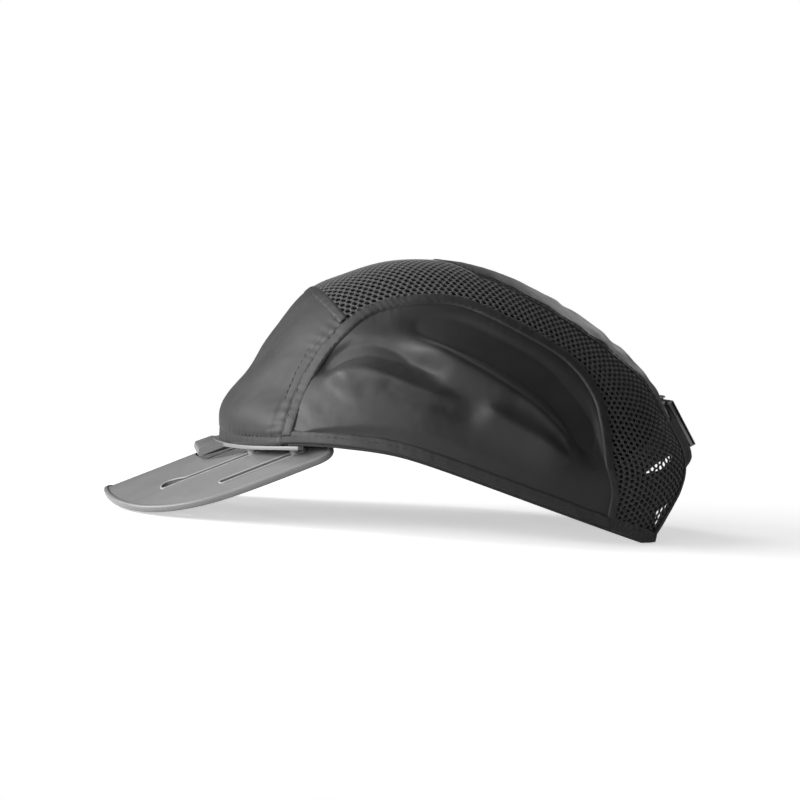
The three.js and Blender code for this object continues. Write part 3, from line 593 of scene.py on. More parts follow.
# ---- crown cloth --------------------------------------------------------------
# Folds of a side panel as side-view lines (y, z), with height in mm (below zero for a valley) and
# the spread above and below the line in mm.
FOLDS = [
    ([(-20, 98), (-4, 95), (14, 91), (30, 85), (46, 77), (58, 69), (68, 58), (76, 46), (83, 35)],
     -4.6, 10.0, 5.0),
    ([(2, 96), (18, 92), (34, 86), (48, 77), (58, 68)], -1.2, 9.0, 7.0),
    ([(-16, 90), (2, 84), (18, 77), (34, 69), (48, 61), (60, 51), (70, 40)], 6.2, 3.2, 10.0),
    ([(-54, 64), (-46, 74), (-38, 80), (-28, 82.5), (-16, 80.5), (-2, 76), (10, 72)], -3.8, 5.0, 3.4),
    ([(-46, 65), (-38, 71), (-28, 73.5), (-14, 69.5), (0, 65), (18, 62)], 4.2, 3.0, 10.0),
    ([(-24, 69), (-14, 64), (-2, 60.5), (14, 59)], -1.2, 2.8, 3.2),
    ([(20, 62), (36, 54), (52, 46), (68, 37)], 3.4, 3.4, 9.0),
    ([(30, 67), (46, 59), (58, 50), (68, 41)], -2.2, 5.0, 4.0),
]
# Broad swellings: middle (y, z), spread both ways and height.
PUFFS = [((-40, 56), (24, 18), 2.0), ((-2, 46), (34, 13), 1.4), ((40, 97), (30, 7), 0.6)]
DEEPEST_FOLD = 2.3


def fold_relief(y, z, shift, strength):
    """Height of the folds and swellings at side-view places, moved back by shift."""
    total = np.zeros(y.shape)
    for points, height, spread_up, spread_down in FOLDS:
        line = catmull_rom(np.array(points, float) + [shift, 0], 14)
        ahead = np.gradient(line, axis=0)
        dy = y[..., None] - line[:, 0]
        dz = z[..., None] - line[:, 1]
        nearest = np.argmin(dy**2 + dz**2, axis=-1)
        py, pz = np.take(line[:, 0], nearest), np.take(line[:, 1], nearest)
        ty, tz = np.take(ahead[:, 0], nearest), np.take(ahead[:, 1], nearest)
        distance = np.hypot(y - py, z - pz)
        above = (ty * (z - pz) - tz * (y - py)) > 0
        spread = np.where(above, spread_up, spread_down)
        share = nearest / (len(line) - 1)
        ends = smoothstep(share, 0, 0.2) * (1 - smoothstep(share, 0.8, 1.0))
        total += strength * height * ends * np.exp(-((distance / spread) ** 2))
    for (cy, cz), (ry, rz), height in PUFFS:
        total += strength * height * np.exp(-(((y - cy - shift) / ry) ** 2) - ((z - cz) / rz) ** 2)
    return total


def blurred(grid, passes=4):
    """A grid of heights with each one averaged with its neighbours, a few times over."""
    for _ in range(passes):
        padded = np.pad(grid, 1, mode="edge")
        grid = (padded[1:-1, 1:-1] * 2 + padded[:-2, 1:-1] + padded[2:, 1:-1]
                + padded[1:-1, :-2] + padded[1:-1, 2:]) / 6
    return grid


def side_panel(side):
    """Satin panel over the ear, from the hem to under its seam tape, with the slack cloth's folds.

    u runs along the panel from the brow to the nape and v from the hem up to the tape.
    """
    name = "left_side_panel" if side > 0 else "right_side_panel"
    u, v = np.meshgrid(np.linspace(0, 1, 190), np.linspace(0, 1, 96), indexing="ij")
    inset = TAPE_WIDTH - 1.5
    top = seam_point(mix(0.03, 0.975, u), np.full(u.shape, -inset))
    base_y = mix(-60.5, 87.0, u)
    y = mix(base_y, top[..., 0], v)
    low = rim_height(base_y) + HEM_HEIGHT - 2.0
    z = mix(low, np.maximum(top[..., 1], low + 0.6), v)
    p = side_point(y, z, side)
    edge = smoothstep(v, 0.995, 0.88) * smoothstep(v, 0.01, 0.13)
    edge = edge * smoothstep(u, 0.0, 0.08) * smoothstep(u, 1.0, 0.93)
    shift, strength = (0, 1) if side > 0 else (5, 0.8)
    relief = blurred(fold_relief(y, z, shift, strength))
    relief = relief + 0.16 * ripples(y, z, 11 + side, 20, 50) + 0.03 * ripples(y, z, 21 + side, 5, 10)
    relief = np.maximum(relief, -DEEPEST_FOLD)
    pucker = 0.12 * np.sin(u * 480 + 5 * np.sin(u * 31)) * np.exp(-(1 - v) * 18)
    piece = cloth_piece(name + "_cloth", p, 0.35 - edge * relief - pucker, SATIN, SIDE_CLOTH)
    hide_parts(name)
    declare_cloth(p)


def strip_depths(rise, rows):
    """Depth across a strip of cloth whose two edges turn down into the seams."""
    v = np.linspace(0, 1, rows)
    return v, -rise * (1 - np.abs(2 * v - 1) ** 4) + 0.35 * np.abs(2 * v - 1) ** 6


def seam_row(start, end, count, outward, side):
    """Points of a stitch row that runs beside the side seam, between two shares of its length."""
    places = seam_point(np.linspace(start, end, count), np.full(count, outward))
    return side_point(*np.moveaxis(places, -1, 0), side)


def side_tape(side):
    """Top-stitched band round the side panel, drawn up a little by its two rows of stitches."""
    name = "left_side_tape" if side > 0 else "right_side_tape"
    u = np.linspace(0, 1, 420)
    v, depth = strip_depths(0.55, 9)
    share = mix(0.012, 0.975, u)
    uu, vv = np.meshgrid(share, v, indexing="ij")
    p = side_point(*np.moveaxis(seam_point(uu, -TAPE_WIDTH * vv), -1, 0), side)
    s = share * side_seam.length
    pucker = 0.07 * np.sin(s / 0.55 + 2.6 * np.sin(s / 7)) * (0.6 + 0.4 * np.sin(s / 11))
    pucker = pucker[:, None] * (1 - 0.5 * v)[None]
    relief = 0.12 * ripples(s[:, None] + 0 * vv, vv * TAPE_WIDTH, 31, 5, 14)
    # The tape's lighter satin copy is a painted highlight.
    piece = cloth_piece(name + "_cloth", p, depth[None] + pucker + relief, SATIN_PAINTED_HIGHLIGHT, TAPE_CLOTH)
    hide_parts(name)
    rows = [seam_row(0.02, 0.97, 400, -inset, side) for inset in (0.9, TAPE_WIDTH - 0.7)]
    thread = stitches(name + "_stitching", rows, lift=0.42)


def front_panel():
    """Satin brow panel with gathers along its side seams: u runs across, v from the rim up."""
    u, v = np.meshgrid(np.linspace(0, 1, 170), np.linspace(0, 1, 80), indexing="ij")
    across = 2 * u - 1
    edge_share = mix(0.005, FRONT_SEAM_SHARE - 0.004, v)
    edge = side_point(*np.moveaxis(seam_point(edge_share, np.full(v.shape, -1.2)), -1, 0), 1)
    x = edge[..., 0] * across
    edge_angle = angle_of(edge[..., 1], edge[..., 2])
    rim = foot_angle(x, lambda y: rim_height(y) - 0.3, True)
    top = FRONT_SEAM_ANGLE + 1.5
    angle = mix(mix(rim, top, v), edge_angle, across**2 * v * (1 - v) * 2)
    angle = mix(angle, edge_angle, smoothstep(np.abs(across), 0.86, 1.0) * smoothstep(v, 0, 0.06)
                * smoothstep(v, 1.0, 0.94))
    p = band_point(x, angle)
    from_seam = (1 - np.abs(across)) * np.abs(edge[..., 0])
    s = edge_share * side_seam.length + 2 * np.sign(across)
    gather = np.sin(s / 0.62 + 2.2 * np.sin(s / 6.0)) * (0.55 + 0.45 * np.sin(s / 9.0 + 1))
    gather = 0.16 * gather * np.exp(-((from_seam - 2.5) / 5.0) ** 2)
    z = p[..., 2]
    rim_gather = 0.08 * np.sin(x / 0.7 + 2 * np.sin(x / 8)) * np.exp(-((v * 75) / 7) ** 2)
    relief = 0.55 * ripples(x, z, 5, 18, 50) + 0.04 * ripples(x, z, 6, 5, 9)
    relief = relief * smoothstep(from_seam, 1, 12)
    groove = -0.45 * np.exp(-((from_seam - 4.4) / 0.7) ** 2)
    hem = -0.4 * np.exp(-(((z - rim_height(p[..., 1])) - 4.2) / 0.7) ** 2)
    tuck = 0.9 * smoothstep(from_seam, 1.8, 0.2) + 0.5 * smoothstep(v, 0.985, 1.0)
    depth = tuck - relief - gather - rim_gather - groove - hem
    piece = cloth_piece("front_panel_cloth", p, depth, SATIN, PANEL_CLOTH)
    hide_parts("front_panel")
    rows = [seam_row(0.03, FRONT_SEAM_SHARE - 0.006, 200, 3.2, side) for side in (1, -1)]
    xs = np.linspace(-66, 66, 300)
    rows.append(band_point(xs, foot_angle(xs, lambda y: rim_height(y) + 4.2, True)))
    thread = stitches("front_panel_stitching", rows, lift=-0.3)
    declare_cloth(p)


def front_seam_tape():
    """Narrow band that covers the join of the brow panel and the mesh."""
    half = side_point(*seam_point(FRONT_SEAM_SHARE - 0.004, 0.3), 1)[0]
    u = np.linspace(-half, half, 160)
    v, depth = strip_depths(0.5, 9)
    x, angle = np.meshgrid(u, FRONT_SEAM_ANGLE + mix(-0.3, 2.9, v), indexing="ij")
    wrinkle = 0.1 * np.sin(x / 0.8 + 2 * np.sin(x / 9))
    depth = depth[None] + wrinkle
    piece = cloth_piece("front_seam_tape_cloth", band_point(x, angle), depth, SEAM_BAND, TAPE_CLOTH)
    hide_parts("front_seam_tape")
    xs = np.linspace(-half, half, 200)
    rows = [band_point(xs, np.full(200, FRONT_SEAM_ANGLE + a)) for a in (0.3, 2.4)]
    stitches("front_seam_tape_stitching", rows, lift=0.3)


def centre_panel():
    """Satin strip over the back of the crown, slack and wrinkled towards the nape."""
    shares = np.array([0.5, 0.56, 0.6, 0.64, 0.68, 0.72, 0.76])
    foot_x, foot_a = arch_point(shares, TAPE_WIDTH - 1.5)
    u, v = np.meshgrid(np.linspace(0, 1, 110), np.linspace(0, 1, 170), indexing="ij")
    across = 2 * u - 1
    foot = np.interp(np.abs(across * 36), foot_x, foot_a)
    angle = mix(foot, 94.6, v**1.15)
    half = np.maximum(np.interp(angle, centre_edge[:, 0], centre_edge[:, 1]) + 0.3, 0.7)
    x = across * half
    p = band_point(x, angle)
    s = angle * 1.9
    slack = smoothstep(angle, 74, 38)
    wrinkle = 0.7 * ripples(0.35 * x, s, 41, 11, 28) * slack
    wrinkle += 0.3 * ripples(x, s, 42, 10, 22) * (0.4 + slack)
    wrinkle += 0.04 * ripples(x, s, 43, 4, 9)
    edge = smoothstep(np.abs(across), 1.0, 0.9) * smoothstep(v, 0, 0.05) * smoothstep(v, 1.0, 0.97)
    pucker = 0.12 * np.sin(s / 0.6 + 2 * np.sin(s / 8)) * np.exp(-((1 - np.abs(across)) * half / 3.5) ** 2)
    groove = -0.4 * np.exp(-(((1 - np.abs(across)) * half - 2.2) / 0.6) ** 2)
    depth = -0.5 - edge * wrinkle - pucker - groove + 0.5 * (1 - smoothstep(np.abs(across), 1.0, 0.97))
    # The back panel's darker satin copy is painted shade.
    piece = cloth_piece("centre_panel_cloth", p, depth, SATIN_PAINTED_SHADE, PANEL_CLOTH)
    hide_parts("centre_panel")
    rows = []
    angles = np.linspace(16, 92, 300)
    for side in (1, -1):
        xs = np.interp(angles, centre_edge[:, 0], centre_edge[:, 1]) - 1.9
        rows.append(band_point(side * xs, angles))
    thread = stitches("centre_panel_stitching", rows, lift=0.55)
    declare_cloth(p)


def inside_polygon(x, y, polygon):
    inside = np.zeros(x.shape, bool)
    for (ax, ay), (bx, by) in zip(polygon, np.roll(polygon, -1, axis=0)):
        if ay == by:
            continue
        crosses = (ay > y) != (by > y)
        inside ^= crosses & (x < (bx - ax) * (y - ay) / (by - ay) + ax)
    return inside


def mesh_keeps(x, angle):
    """True where the open mesh shows, or lies just under the tapes and bindings round it."""
    p = band_point(x, angle)
    y, z = p[..., 1], p[..., 2]
    panel = seam_point(np.linspace(0, 1, 160), np.full(160, -2.5))
    panel = np.vstack([panel, [[92, -60], [-70, -60]]])
    arch_x, arch_angle = arch_point(np.linspace(0, 1, 160), 1.4)
    arch = np.vstack([np.stack([arch_x, arch_angle], -1), [[60, -60], [-60, -60]]])
    half = np.interp(angle, centre_edge[:, 0], centre_edge[:, 1]) - 2.2
    centre = (np.abs(x) < half) & (angle < 96)
    return (~inside_polygon(y, z, panel) & ~inside_polygon(x, angle, arch) & ~centre
            & (angle < FRONT_SEAM_ANGLE + 1.2) & (z > rim_height(y) + 3.5) & (angle > -30))


def mesh_panel():
    """The open mesh, as a real lattice of round-sectioned threads about six-sided holes."""
    xs = np.linspace(-MESH_EDGE_X, MESH_EDGE_X, 1400)
    share = band_share(xs)
    lateral = np.concatenate([[0], np.cumsum(np.hypot(np.diff(xs), np.diff(share) * 100))])
    lateral -= np.interp(0, xs, lateral)
    angles = np.linspace(-34, 136, 1400)
    ring = band_point(np.full(angles.shape, 50.0), angles)
    along = np.concatenate([[0], np.cumsum(np.linalg.norm(np.diff(ring, axis=0), axis=1))])

    row_gap = MESH_PITCH * math.sqrt(3) / 2
    i, j = np.meshgrid(np.arange(int(along[-1] / MESH_PITCH)), np.arange(-70, 71), indexing="ij")
    centre = np.stack([(i + 0.5 * (j % 2)) * MESH_PITCH, j * row_gap], -1).reshape(-1, 2)
    centre = centre[np.abs(centre[:, 1]) < lateral[-1] - 2]

    def chart(q):
        return np.interp(q[..., 1], lateral, xs), np.interp(q[..., 0], along, angles)

    centre = centre[mesh_keeps(*chart(centre))]
    turns = np.radians(np.arange(6) * 60 + 30)
    corner = np.stack([np.cos(turns), np.sin(turns)], -1) * MESH_PITCH / math.sqrt(3)
    hole = corner * np.array(MESH_HOLE)
    outer = centre[:, None] + corner[None]
    keys, shared = np.unique(np.round(outer.reshape(-1, 2) / 0.02).astype(int), axis=0, return_inverse=True)
    shared = shared.reshape(-1)
    corners = np.zeros((len(keys), 2))
    corners[shared] = outer.reshape(-1, 2)
    inner = (centre[:, None] + hole[None]).reshape(-1, 2)

    def place(q, depth=0.0):
        p = band_point(*chart(q))
        return p - crown_normal(p) * depth

    count, n_outer, n_inner = len(centre), len(corners), len(inner)
    vertices = np.concatenate([place(corners), place(inner, 0.3), place(inner, 0.8), place(corners, 1.0)])
    faces = []
    for k in range(6):
        m = (k + 1) % 6
        cell = np.arange(count) * 6
        o1, o2 = shared[cell + k], shared[cell + m]
        i1, i2 = n_outer + cell + k, n_outer + cell + m
        faces.append(np.stack([o1, o2, i2, i1], -1))
        faces.append(np.stack([i1, i2, i2 + n_inner, i1 + n_inner], -1))
        b = n_outer + 2 * n_inner
        faces.append(np.stack([i1 + n_inner, i2 + n_inner, b + o2, b + o1], -1))
    piece = make_piece("mesh_panel_lattice", vertices, np.concatenate(faces), MESH_THREAD)
    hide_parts("mesh_panel")


def rolled_strip(name, place, along, material, height, rise, thickness, stitched, seed,
                 pucker=0.07):
    """A folded strip along an edge: place(u, v) gives its outer face, v = 0 at the free edge.

    rise is how far it stands off the crown, and stitched the share of its height at its row of stitches.
    """
    v = np.concatenate([np.linspace(0, 0.2, 5), np.linspace(0.28, 1, 9)])
    uu, vv = np.meshgrid(along, v, indexing="ij")
    p = place(uu, vv)
    s = np.concatenate([[0], np.cumsum(np.linalg.norm(np.diff(p[:, -1], axis=0), axis=1))])[:, None]
    roll = rise * (1 - (1 - np.minimum(vv / 0.2, 1)) ** 2.2)
    depth = 0.75 * thickness - roll - 0.75 * thickness * np.minimum(vv / 0.2, 1)
    depth = depth + 0.45 * smoothstep(vv, 0.86, 1.0)
    depth = depth + pucker * np.sin(s / 0.6 + 2 * np.sin(s / 7)) * smoothstep(vv, 0.1, 0.6)
    depth = depth + 0.1 * ripples(s, vv * height, seed, 6, 18)
    piece = cloth_piece(name, p, depth, material, thickness)
    line = place(along, np.full(along.shape, stitched))
    stitches(name + "_stitching", [line], lift=rise - 0.05)
    return piece


def round_edge(name, edge, half_width, half_height):
    """A thin round edging along crown points, sunk a little into the cloth."""
    ups = np.tile([0.0, 0.0, 1.0], (len(edge), 1))
    path = edge - crown_normal(edge) * 0.6
    vertices, faces = tube(path, ellipse(half_width, half_height, 8), False, ups)
    make_piece(name, vertices, faces, BINDING)


def hem(side):
    """Hem round the ear: satin band under the side panel, black binding and facing under the mesh."""
    node = "left_hem_binding" if side > 0 else "right_hem_binding"
    prefix = node.split("_")[0]

    def place(y, v):
        return side_point(y, rim_height(y) + mix(-0.2, HEM_HEIGHT, v), side)

    # The hem band's lighter satin copy is a painted highlight.
    band = rolled_strip(prefix + "_hem_band", place, np.linspace(-64.5, 91, 420), SATIN_PAINTED_HIGHLIGHT, HEM_HEIGHT,
                        0.12, 1.5, stitched=0.62, seed=51, pucker=0.02)
    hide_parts(node)
    rear = rolled_strip(prefix + "_hem_rear_binding", place, np.linspace(90.5, 119.5, 90), BINDING,
                        HEM_HEIGHT, 0.7, 1.8, stitched=0.75, seed=52)
    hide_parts(node)
    y, v = np.meshgrid(np.linspace(91, 119, 60), np.linspace(0.06, 1, 12), indexing="ij")
    rise = HEM_FACING * mix(1.0, 1.7, smoothstep(y, 98, 118)) * v
    facing = cloth_piece(prefix + "_hem_facing", side_point(y, rim_height(y) + rise, side), 1.7, BINDING, 0.5)
    edge_y = np.linspace(-61.5, 119, 300)
    round_edge(prefix + "_hem_edge", side_point(edge_y, rim_height(edge_y) + 0.15, side), 0.75, 0.5)


def brow_edge():
    """Black edge that closes the foot of the brow panel."""
    xs = np.linspace(-63, 63, 260)
    edge = band_point(xs, foot_angle(xs, lambda y: rim_height(y) + 0.1, True))
    round_edge("brow_edge", edge, 0.8, 0.55)


def rear_arch():
    """Binding round the opening at the nape."""

    def place(share, v):
        return band_point(*arch_point(share, ARCH_BINDING * v))

    piece = rolled_strip("rear_arch_binding_tape", place, np.linspace(0.03, 0.97, 420), BINDING,
                         ARCH_BINDING, 0.6, 1.8, stitched=0.7, seed=61)
    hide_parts("rear_arch_binding")


# ---- hard shell and padding ------------------------------------------------
def shell_foot(y):
    return np.interp(y, *zip(*SHELL_FOOT))


def hard_shell():
    """Moulded bump shell under the cloth."""
    u, v = np.meshgrid(np.linspace(-90, 90, 90), np.linspace(0, 1, 80), indexing="ij")
    x = SHELL_WIDEST * np.sin(np.radians(u))
    p = band_point(x, mix(foot_angle(x, shell_foot, False), foot_angle(x, shell_foot, True), v))
    n = crown_normal(p)
    vertices, faces = closed_grid(p - n * SHELL_OUT, p - n * SHELL_IN)
    piece = make_piece("hard_shell_moulding", vertices, faces, SHELL, smooth_angle=50)
    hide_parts("hard_shell")


def cad_copy(node, name):
    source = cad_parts[node]
    mesh = source.data.copy()
    mesh.materials.clear()
    obj = bpy.data.objects.new(name, mesh)
    bpy.context.scene.collection.objects.link(obj)
    return obj


def apply_modifiers(obj):
    bpy.context.view_layer.update()
    done = bpy.data.meshes.new_from_object(obj.evaluated_get(bpy.context.evaluated_depsgraph_get()))
    obj.modifiers.clear()
    obj.data = done


PADS = ["crown_pad", "rear_pad", "brow_pad", "left_side_pad", "right_side_pad"]


def foam_pads():
    """The five foam pads: remeshed from their CAD solids and swollen under pressure as cloth skins."""
    pads = []
    for node in PADS:
        pad = cad_copy(node, node + "_foam")
        remesh = pad.modifiers.new("remesh", "REMESH")
        remesh.mode = "VOXEL"
        remesh.voxel_size = 0.0024
        apply_modifiers(pad)
        smooth = pad.modifiers.new("smooth", "SMOOTH")
        smooth.factor, smooth.iterations = 0.6, 6
        apply_modifiers(pad)
        pads.append(pad)
    swell(pads)
    for pad, node in zip(pads, PADS):
        sub = pad.modifiers.new("sub", "SUBSURF")
        sub.levels = sub.render_levels = 1
        apply_modifiers(pad)
        pad.data.shade_smooth()
        pad.data.materials.clear()
        pad.data.materials.append(FOAM)
        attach(pad, "crown")
        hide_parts(node)


def swell(pads, frames=12, most=0.0012):
    """Runs each pad as cloth under inner pressure and keeps at most a small part of the movement."""
    scene = bpy.context.scene
    scene.frame_start, scene.frame_end = 1, frames
    start = {}
    for pad in pads:
        start[pad.name] = np.array([v.co for v in pad.data.vertices])
        cloth = pad.modifiers.new("cloth", "CLOTH")
        cloth.settings.quality = 5
        cloth.settings.mass = 0.1
        cloth.settings.tension_stiffness = cloth.settings.compression_stiffness = 20
        cloth.settings.use_pressure = True
        cloth.settings.uniform_pressure_force = 4
        cloth.settings.effector_weights.gravity = 0
        cloth.point_cache.frame_start, cloth.point_cache.frame_end = 1, frames
    for number in range(1, frames + 1):
        scene.frame_set(number)
    for pad in pads:
        apply_modifiers(pad)
        moved = np.array([v.co for v in pad.data.vertices]) - start[pad.name]
        far = np.linalg.norm(moved, axis=1, keepdims=True)
        kept = start[pad.name] + moved * np.minimum(1, most / np.maximum(far, 1e-9))
        pad.data.vertices.foreach_set("co", kept.ravel())
        pad.data.update()
    scene.frame_set(1)


# ---- peak --------------------------------------------------------------------
PEAK_TURN = math.radians(SLIDE_ANGLE)


def peak_to_cap(p):
    """From the peak's frame (x across, y back along the slide, z out of the top face) to the cap's."""
    p = np.asarray(p, float)
    c, s = math.cos(PEAK_TURN), math.sin(PEAK_TURN)
    return np.stack([p[..., 0], PEAK_ORIGIN[1] + p[..., 1] * c - p[..., 2] * s,
                     PEAK_ORIGIN[2] + p[..., 1] * s + p[..., 2] * c], -1)


def arch_bend(p):
    """Lays flat peak points (x, y, height) on the arch."""
    p = np.asarray(p, float)
    root = np.sqrt(np.maximum(ARCH_RADIUS**2 - p[..., 0] ** 2, 1))
    lean = p[..., 0] / ARCH_RADIUS
    return np.stack([p[..., 0] + p[..., 2] * lean, p[..., 1],
                     root - ARCH_RADIUS + p[..., 2] * root / ARCH_RADIUS], -1)


def bezier(points, steps=18):
    """Points of a cubic or quadratic Bezier curve, without the first."""
    t = np.linspace(0, 1, steps + 1)[1:, None]
    p = np.array(points, float)
    while len(p) > 1:
        p = p[:-1, None] * (1 - t) + p[1:, None] * t if p.ndim == 2 else p[:-1] * (1 - t) + p[1:] * t
    return p[0]


def plate_outline(m=0.0):
    """Closed outline of the sliding plate, pulled in by m: the right half, then its mirror."""
    start = np.array([[0.0, -PEAK_TIP + m]])
    half = [start]
    corner = start[0]
    for curve in (
        [(36, -PEAK_TIP + m), (62 - m, -42 + m), (WING_X - 3.5 - m, -8)],
        [(WING_X - m, 6), (WING_X - m, 20), (WING_X - m, WING_END - 10)],
        [(WING_X - m, WING_END - m), (WING_X - 8, WING_END - m)],
        [(57 + m, WING_END - 3 - m)],
        [(52 + m, 46), (44 + m, 44), (41 + m, 34)],
        [(38 + m, 24), (36 + m, 14), (31 + m, 8)],
        [(26 + m, 2 - m), (14, BAY_FRONT - m), (0, BAY_FRONT - m)],
    ):
        half.append(bezier([corner, *curve]))
        corner = half[-1][-1]
    half = np.concatenate(half)
    return np.concatenate([half, half[-2:0:-1] * [-1, 1]])


def slot_outline(side, slot, thumb, grow=0.0):
    """Outline of a slot; an inner one has a half-moon thumb hole at its front end."""
    x, front, rear = slot
    half = SLOT_WIDTH / 2 + grow
    front, rear = front - grow, rear + grow
    a = np.linspace(0, np.pi, 9)
    back = np.stack([half * np.cos(a), rear - half + half * np.sin(a)], -1)
    if thumb:
        edge = [(-half, front + 12.5), (-half - 1.4, front + 10.5), (-4.4 - grow, front + 7.0),
                (-5.0 - grow, front + 3.4), (-3.2 - grow, front + 0.6)]
        foot = np.vstack([catmull_rom(edge, 5), [(0.0, front), (half * 0.8, front + 0.8)]])
    else:
        b = np.linspace(np.pi, 2 * np.pi, 9)
        foot = np.stack([half * np.cos(b), front + half + half * np.sin(b)], -1)
    outline = np.vstack([back, foot])
    return outline * [side, 1] + [side * x, 0]


def on_arch(flat, height):
    """Places flat peak points on the arch, all at one height, in the cap's frame."""
    return peak_to_cap(arch_bend(np.column_stack([flat, np.full(len(flat), height)])))


def flat_plate():
    """Mesh of the plate laid flat, in metres, with its four slots and bevelled edges."""
    curve = bpy.data.curves.new("peak_flat", "CURVE")
    curve.dimensions = "2D"
    curve.fill_mode = "BOTH"
    curve.extrude = (PLATE / 2 - PLATE_BEVEL) * MM
    curve.bevel_depth = PLATE_BEVEL * MM
    curve.bevel_resolution = 2
    curve.offset = -PLATE_BEVEL * MM
    holes = [slot_outline(side, slot, k == 0) for side in (1, -1) for k, slot in enumerate(SLOTS)]
    for outline in [plate_outline(0.8), *holes]:
        spline = curve.splines.new("POLY")
        spline.points.add(len(outline) - 1)
        flat = np.concatenate([outline * MM, np.zeros((len(outline), 1)), np.ones((len(outline), 1))], 1)
        spline.points.foreach_set("co", flat.ravel())
        spline.use_cyclic_u = True
    holder = bpy.data.objects.new("peak_flat", curve)
    bpy.context.scene.collection.objects.link(holder)
    bpy.context.view_layer.update()
    mesh = bpy.data.meshes.new_from_object(holder.evaluated_get(bpy.context.evaluated_depsgraph_get()))
    bpy.data.objects.remove(holder)
    return mesh


def cut_across(bm, places, axis):
    """Cuts a mesh at places along an axis, so that it can bend."""
    for place in places:
        point, normal = [0, 0, 0], [0, 0, 0]
        point[axis], normal[axis] = place * MM, 1
        geometry = bm.verts[:] + bm.edges[:] + bm.faces[:]
        bmesh.ops.bisect_plane(bm, geom=geometry, plane_co=point, plane_no=normal)


def peak_plate():
    """Sliding plate: bevelled sheet with four slots, bent onto the arch; its thick rolled edge and raised
    lips are separate pieces.
    """
    bm = bmesh.new()
    bm.from_mesh(flat_plate())
    bmesh.ops.remove_doubles(bm, verts=bm.verts, dist=1e-6)
    cut_across(bm, np.arange(-75, 76, 2.5), 0)
    cut_across(bm, np.arange(-48, 60, 6), 1)
    bm.verts.ensure_lookup_table()
    points = np.array([v.co for v in bm.verts]) / MM
    faces = [[v.index for v in f.verts] for f in bm.faces]
    bm.free()
    points[:, 2] -= PLATE / 2
    vertices = peak_to_cap(arch_bend(points))
    plate = make_piece("peak_plate_moulding", vertices, faces, PEAK, "peak", smooth_angle=38)
    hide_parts("peak_plate")


def peak_edge():
    """Rolled edge along the plate's front and sides."""
    edge = plate_outline(1.3)
    edge = np.roll(edge, -(len(edge) // 2), axis=0)
    edge = resample(edge[(np.abs(edge[:, 0]) > 56) | (edge[:, 1] < -16)], 1.6)
    path = on_arch(edge, -0.9)
    vertices, faces = tube(path, ellipse(1.3, 1.75, 14, 0.7), False, on_arch(edge, 1.0) - path)
    make_piece("peak_plate_edge", vertices, faces, PEAK, "peak", smooth_angle=60)


def slot_lips():
    """Raised lips round the four slots."""
    parts = []
    for side in (1, -1):
        for k, slot in enumerate(SLOTS):
            outline = slot_outline(side, slot, k == 0, grow=0.35)
            outline = resample(np.vstack([outline, outline[:1]]), 1.0)[:-1]
            line = on_arch(outline, 0.05)
            parts.append(tube(line, ellipse(0.5, 0.42, 8), True, on_arch(outline, 1.0) - line))
    # The lips' lighter plastic copy is a painted highlight.
    make_piece("peak_slot_lips", *join_parts(parts), PEAK_PAINTED_HIGHLIGHT, "peak")


def carrier_path(t, reach):
    """Points round the brow at the ledge's height, reach mm out from the crown."""
    turn = np.radians(mix(-CARRIER_TURN, CARRIER_TURN, t))
    x = CARRIER_END_X * np.sin(turn) / math.sin(math.radians(CARRIER_TURN))
    angle = foot_angle(x, rim_height, True)
    p = band_point(x, angle)
    level = np.stack([p[..., 0] * 0.9, p[..., 1] - POLE_Y, 0 * x], -1)
    level /= np.linalg.norm(level, axis=-1, keepdims=True)
    q = p + level * np.asarray(reach)[..., None]
    q[..., 2] = rim_height(p[..., 1]) - 0.5
    return q


def peak_carrier():
    """Fixed ledge round the brow with its tongue, on which the plate slides."""
    t = np.linspace(0, 1, 181)
    inner = mix(FLANGE_AT_ENDS, FLANGE_AT_MIDDLE, 1 - np.abs(2 * t - 1) ** 2)
    section = [(1.0, -0.35), (1.0, 0.35 - CARRIER), (0.97, -CARRIER),
               (0.0, -CARRIER), (0.0, 0.0), (0.97, 0.0)]
    rings = []
    for share, drop in section:
        ring = carrier_path(t, mix(inner, LEDGE_OUT, share))
        ring[..., 2] += drop
        rings.append(ring)
    ledge = make_piece("peak_carrier_ledge", *loft(np.stack(rings, 1)), PEAK_LEDGE, smooth_angle=40)
    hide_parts("peak_carrier")

    xs = np.linspace(-TONGUE_HALF, TONGUE_HALF, 15)
    rows = np.array([[(x, y, z) for y, z in TONGUE_SIDE] for x in xs])
    make_piece("peak_carrier_tongue", *loft(rows), PEAK, smooth_angle=30)


# ---- strap and buckle -----------------------------------------------------------
def strap_angle(x):
    return STRAP_TOP - STRAP_DROP * smoothstep(np.abs(x), 0, STRAP_LEVEL_X)


def strap_depth(x):
    return mix(-STRAP_LIFT, STRAP_TUCK, smoothstep(np.abs(x), 14, 28))


def strap(name, start, end):
    """25 mm webbing across the arch, tucked inside the cloth at its outer end."""
    u, v = np.meshgrid(np.linspace(0, 1, 90), np.linspace(0, 1, 15), indexing="ij")
    x = mix(start, end, u)
    half = STRAP_HALF / band_share(x)
    p = band_point(x, strap_angle(x) + mix(-half, half, v))
    selvedge = 0.25 * np.abs(2 * v - 1) ** 6
    piece = cloth_piece(name + "_webbing", p, strap_depth(x) + selvedge, WEBBING, STRAP)
    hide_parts(name)


BUCKLE_TURN = math.radians(BUCKLE_TILT)


def buckle_to_cap(p):
    p = np.asarray(p, float)
    c, s = math.cos(BUCKLE_TURN), math.sin(BUCKLE_TURN)
    return np.stack([p[..., 0], BUCKLE_ORIGIN[1] + p[..., 1] * c - p[..., 2] * s,
                     BUCKLE_ORIGIN[2] + p[..., 1] * s + p[..., 2] * c], -1)


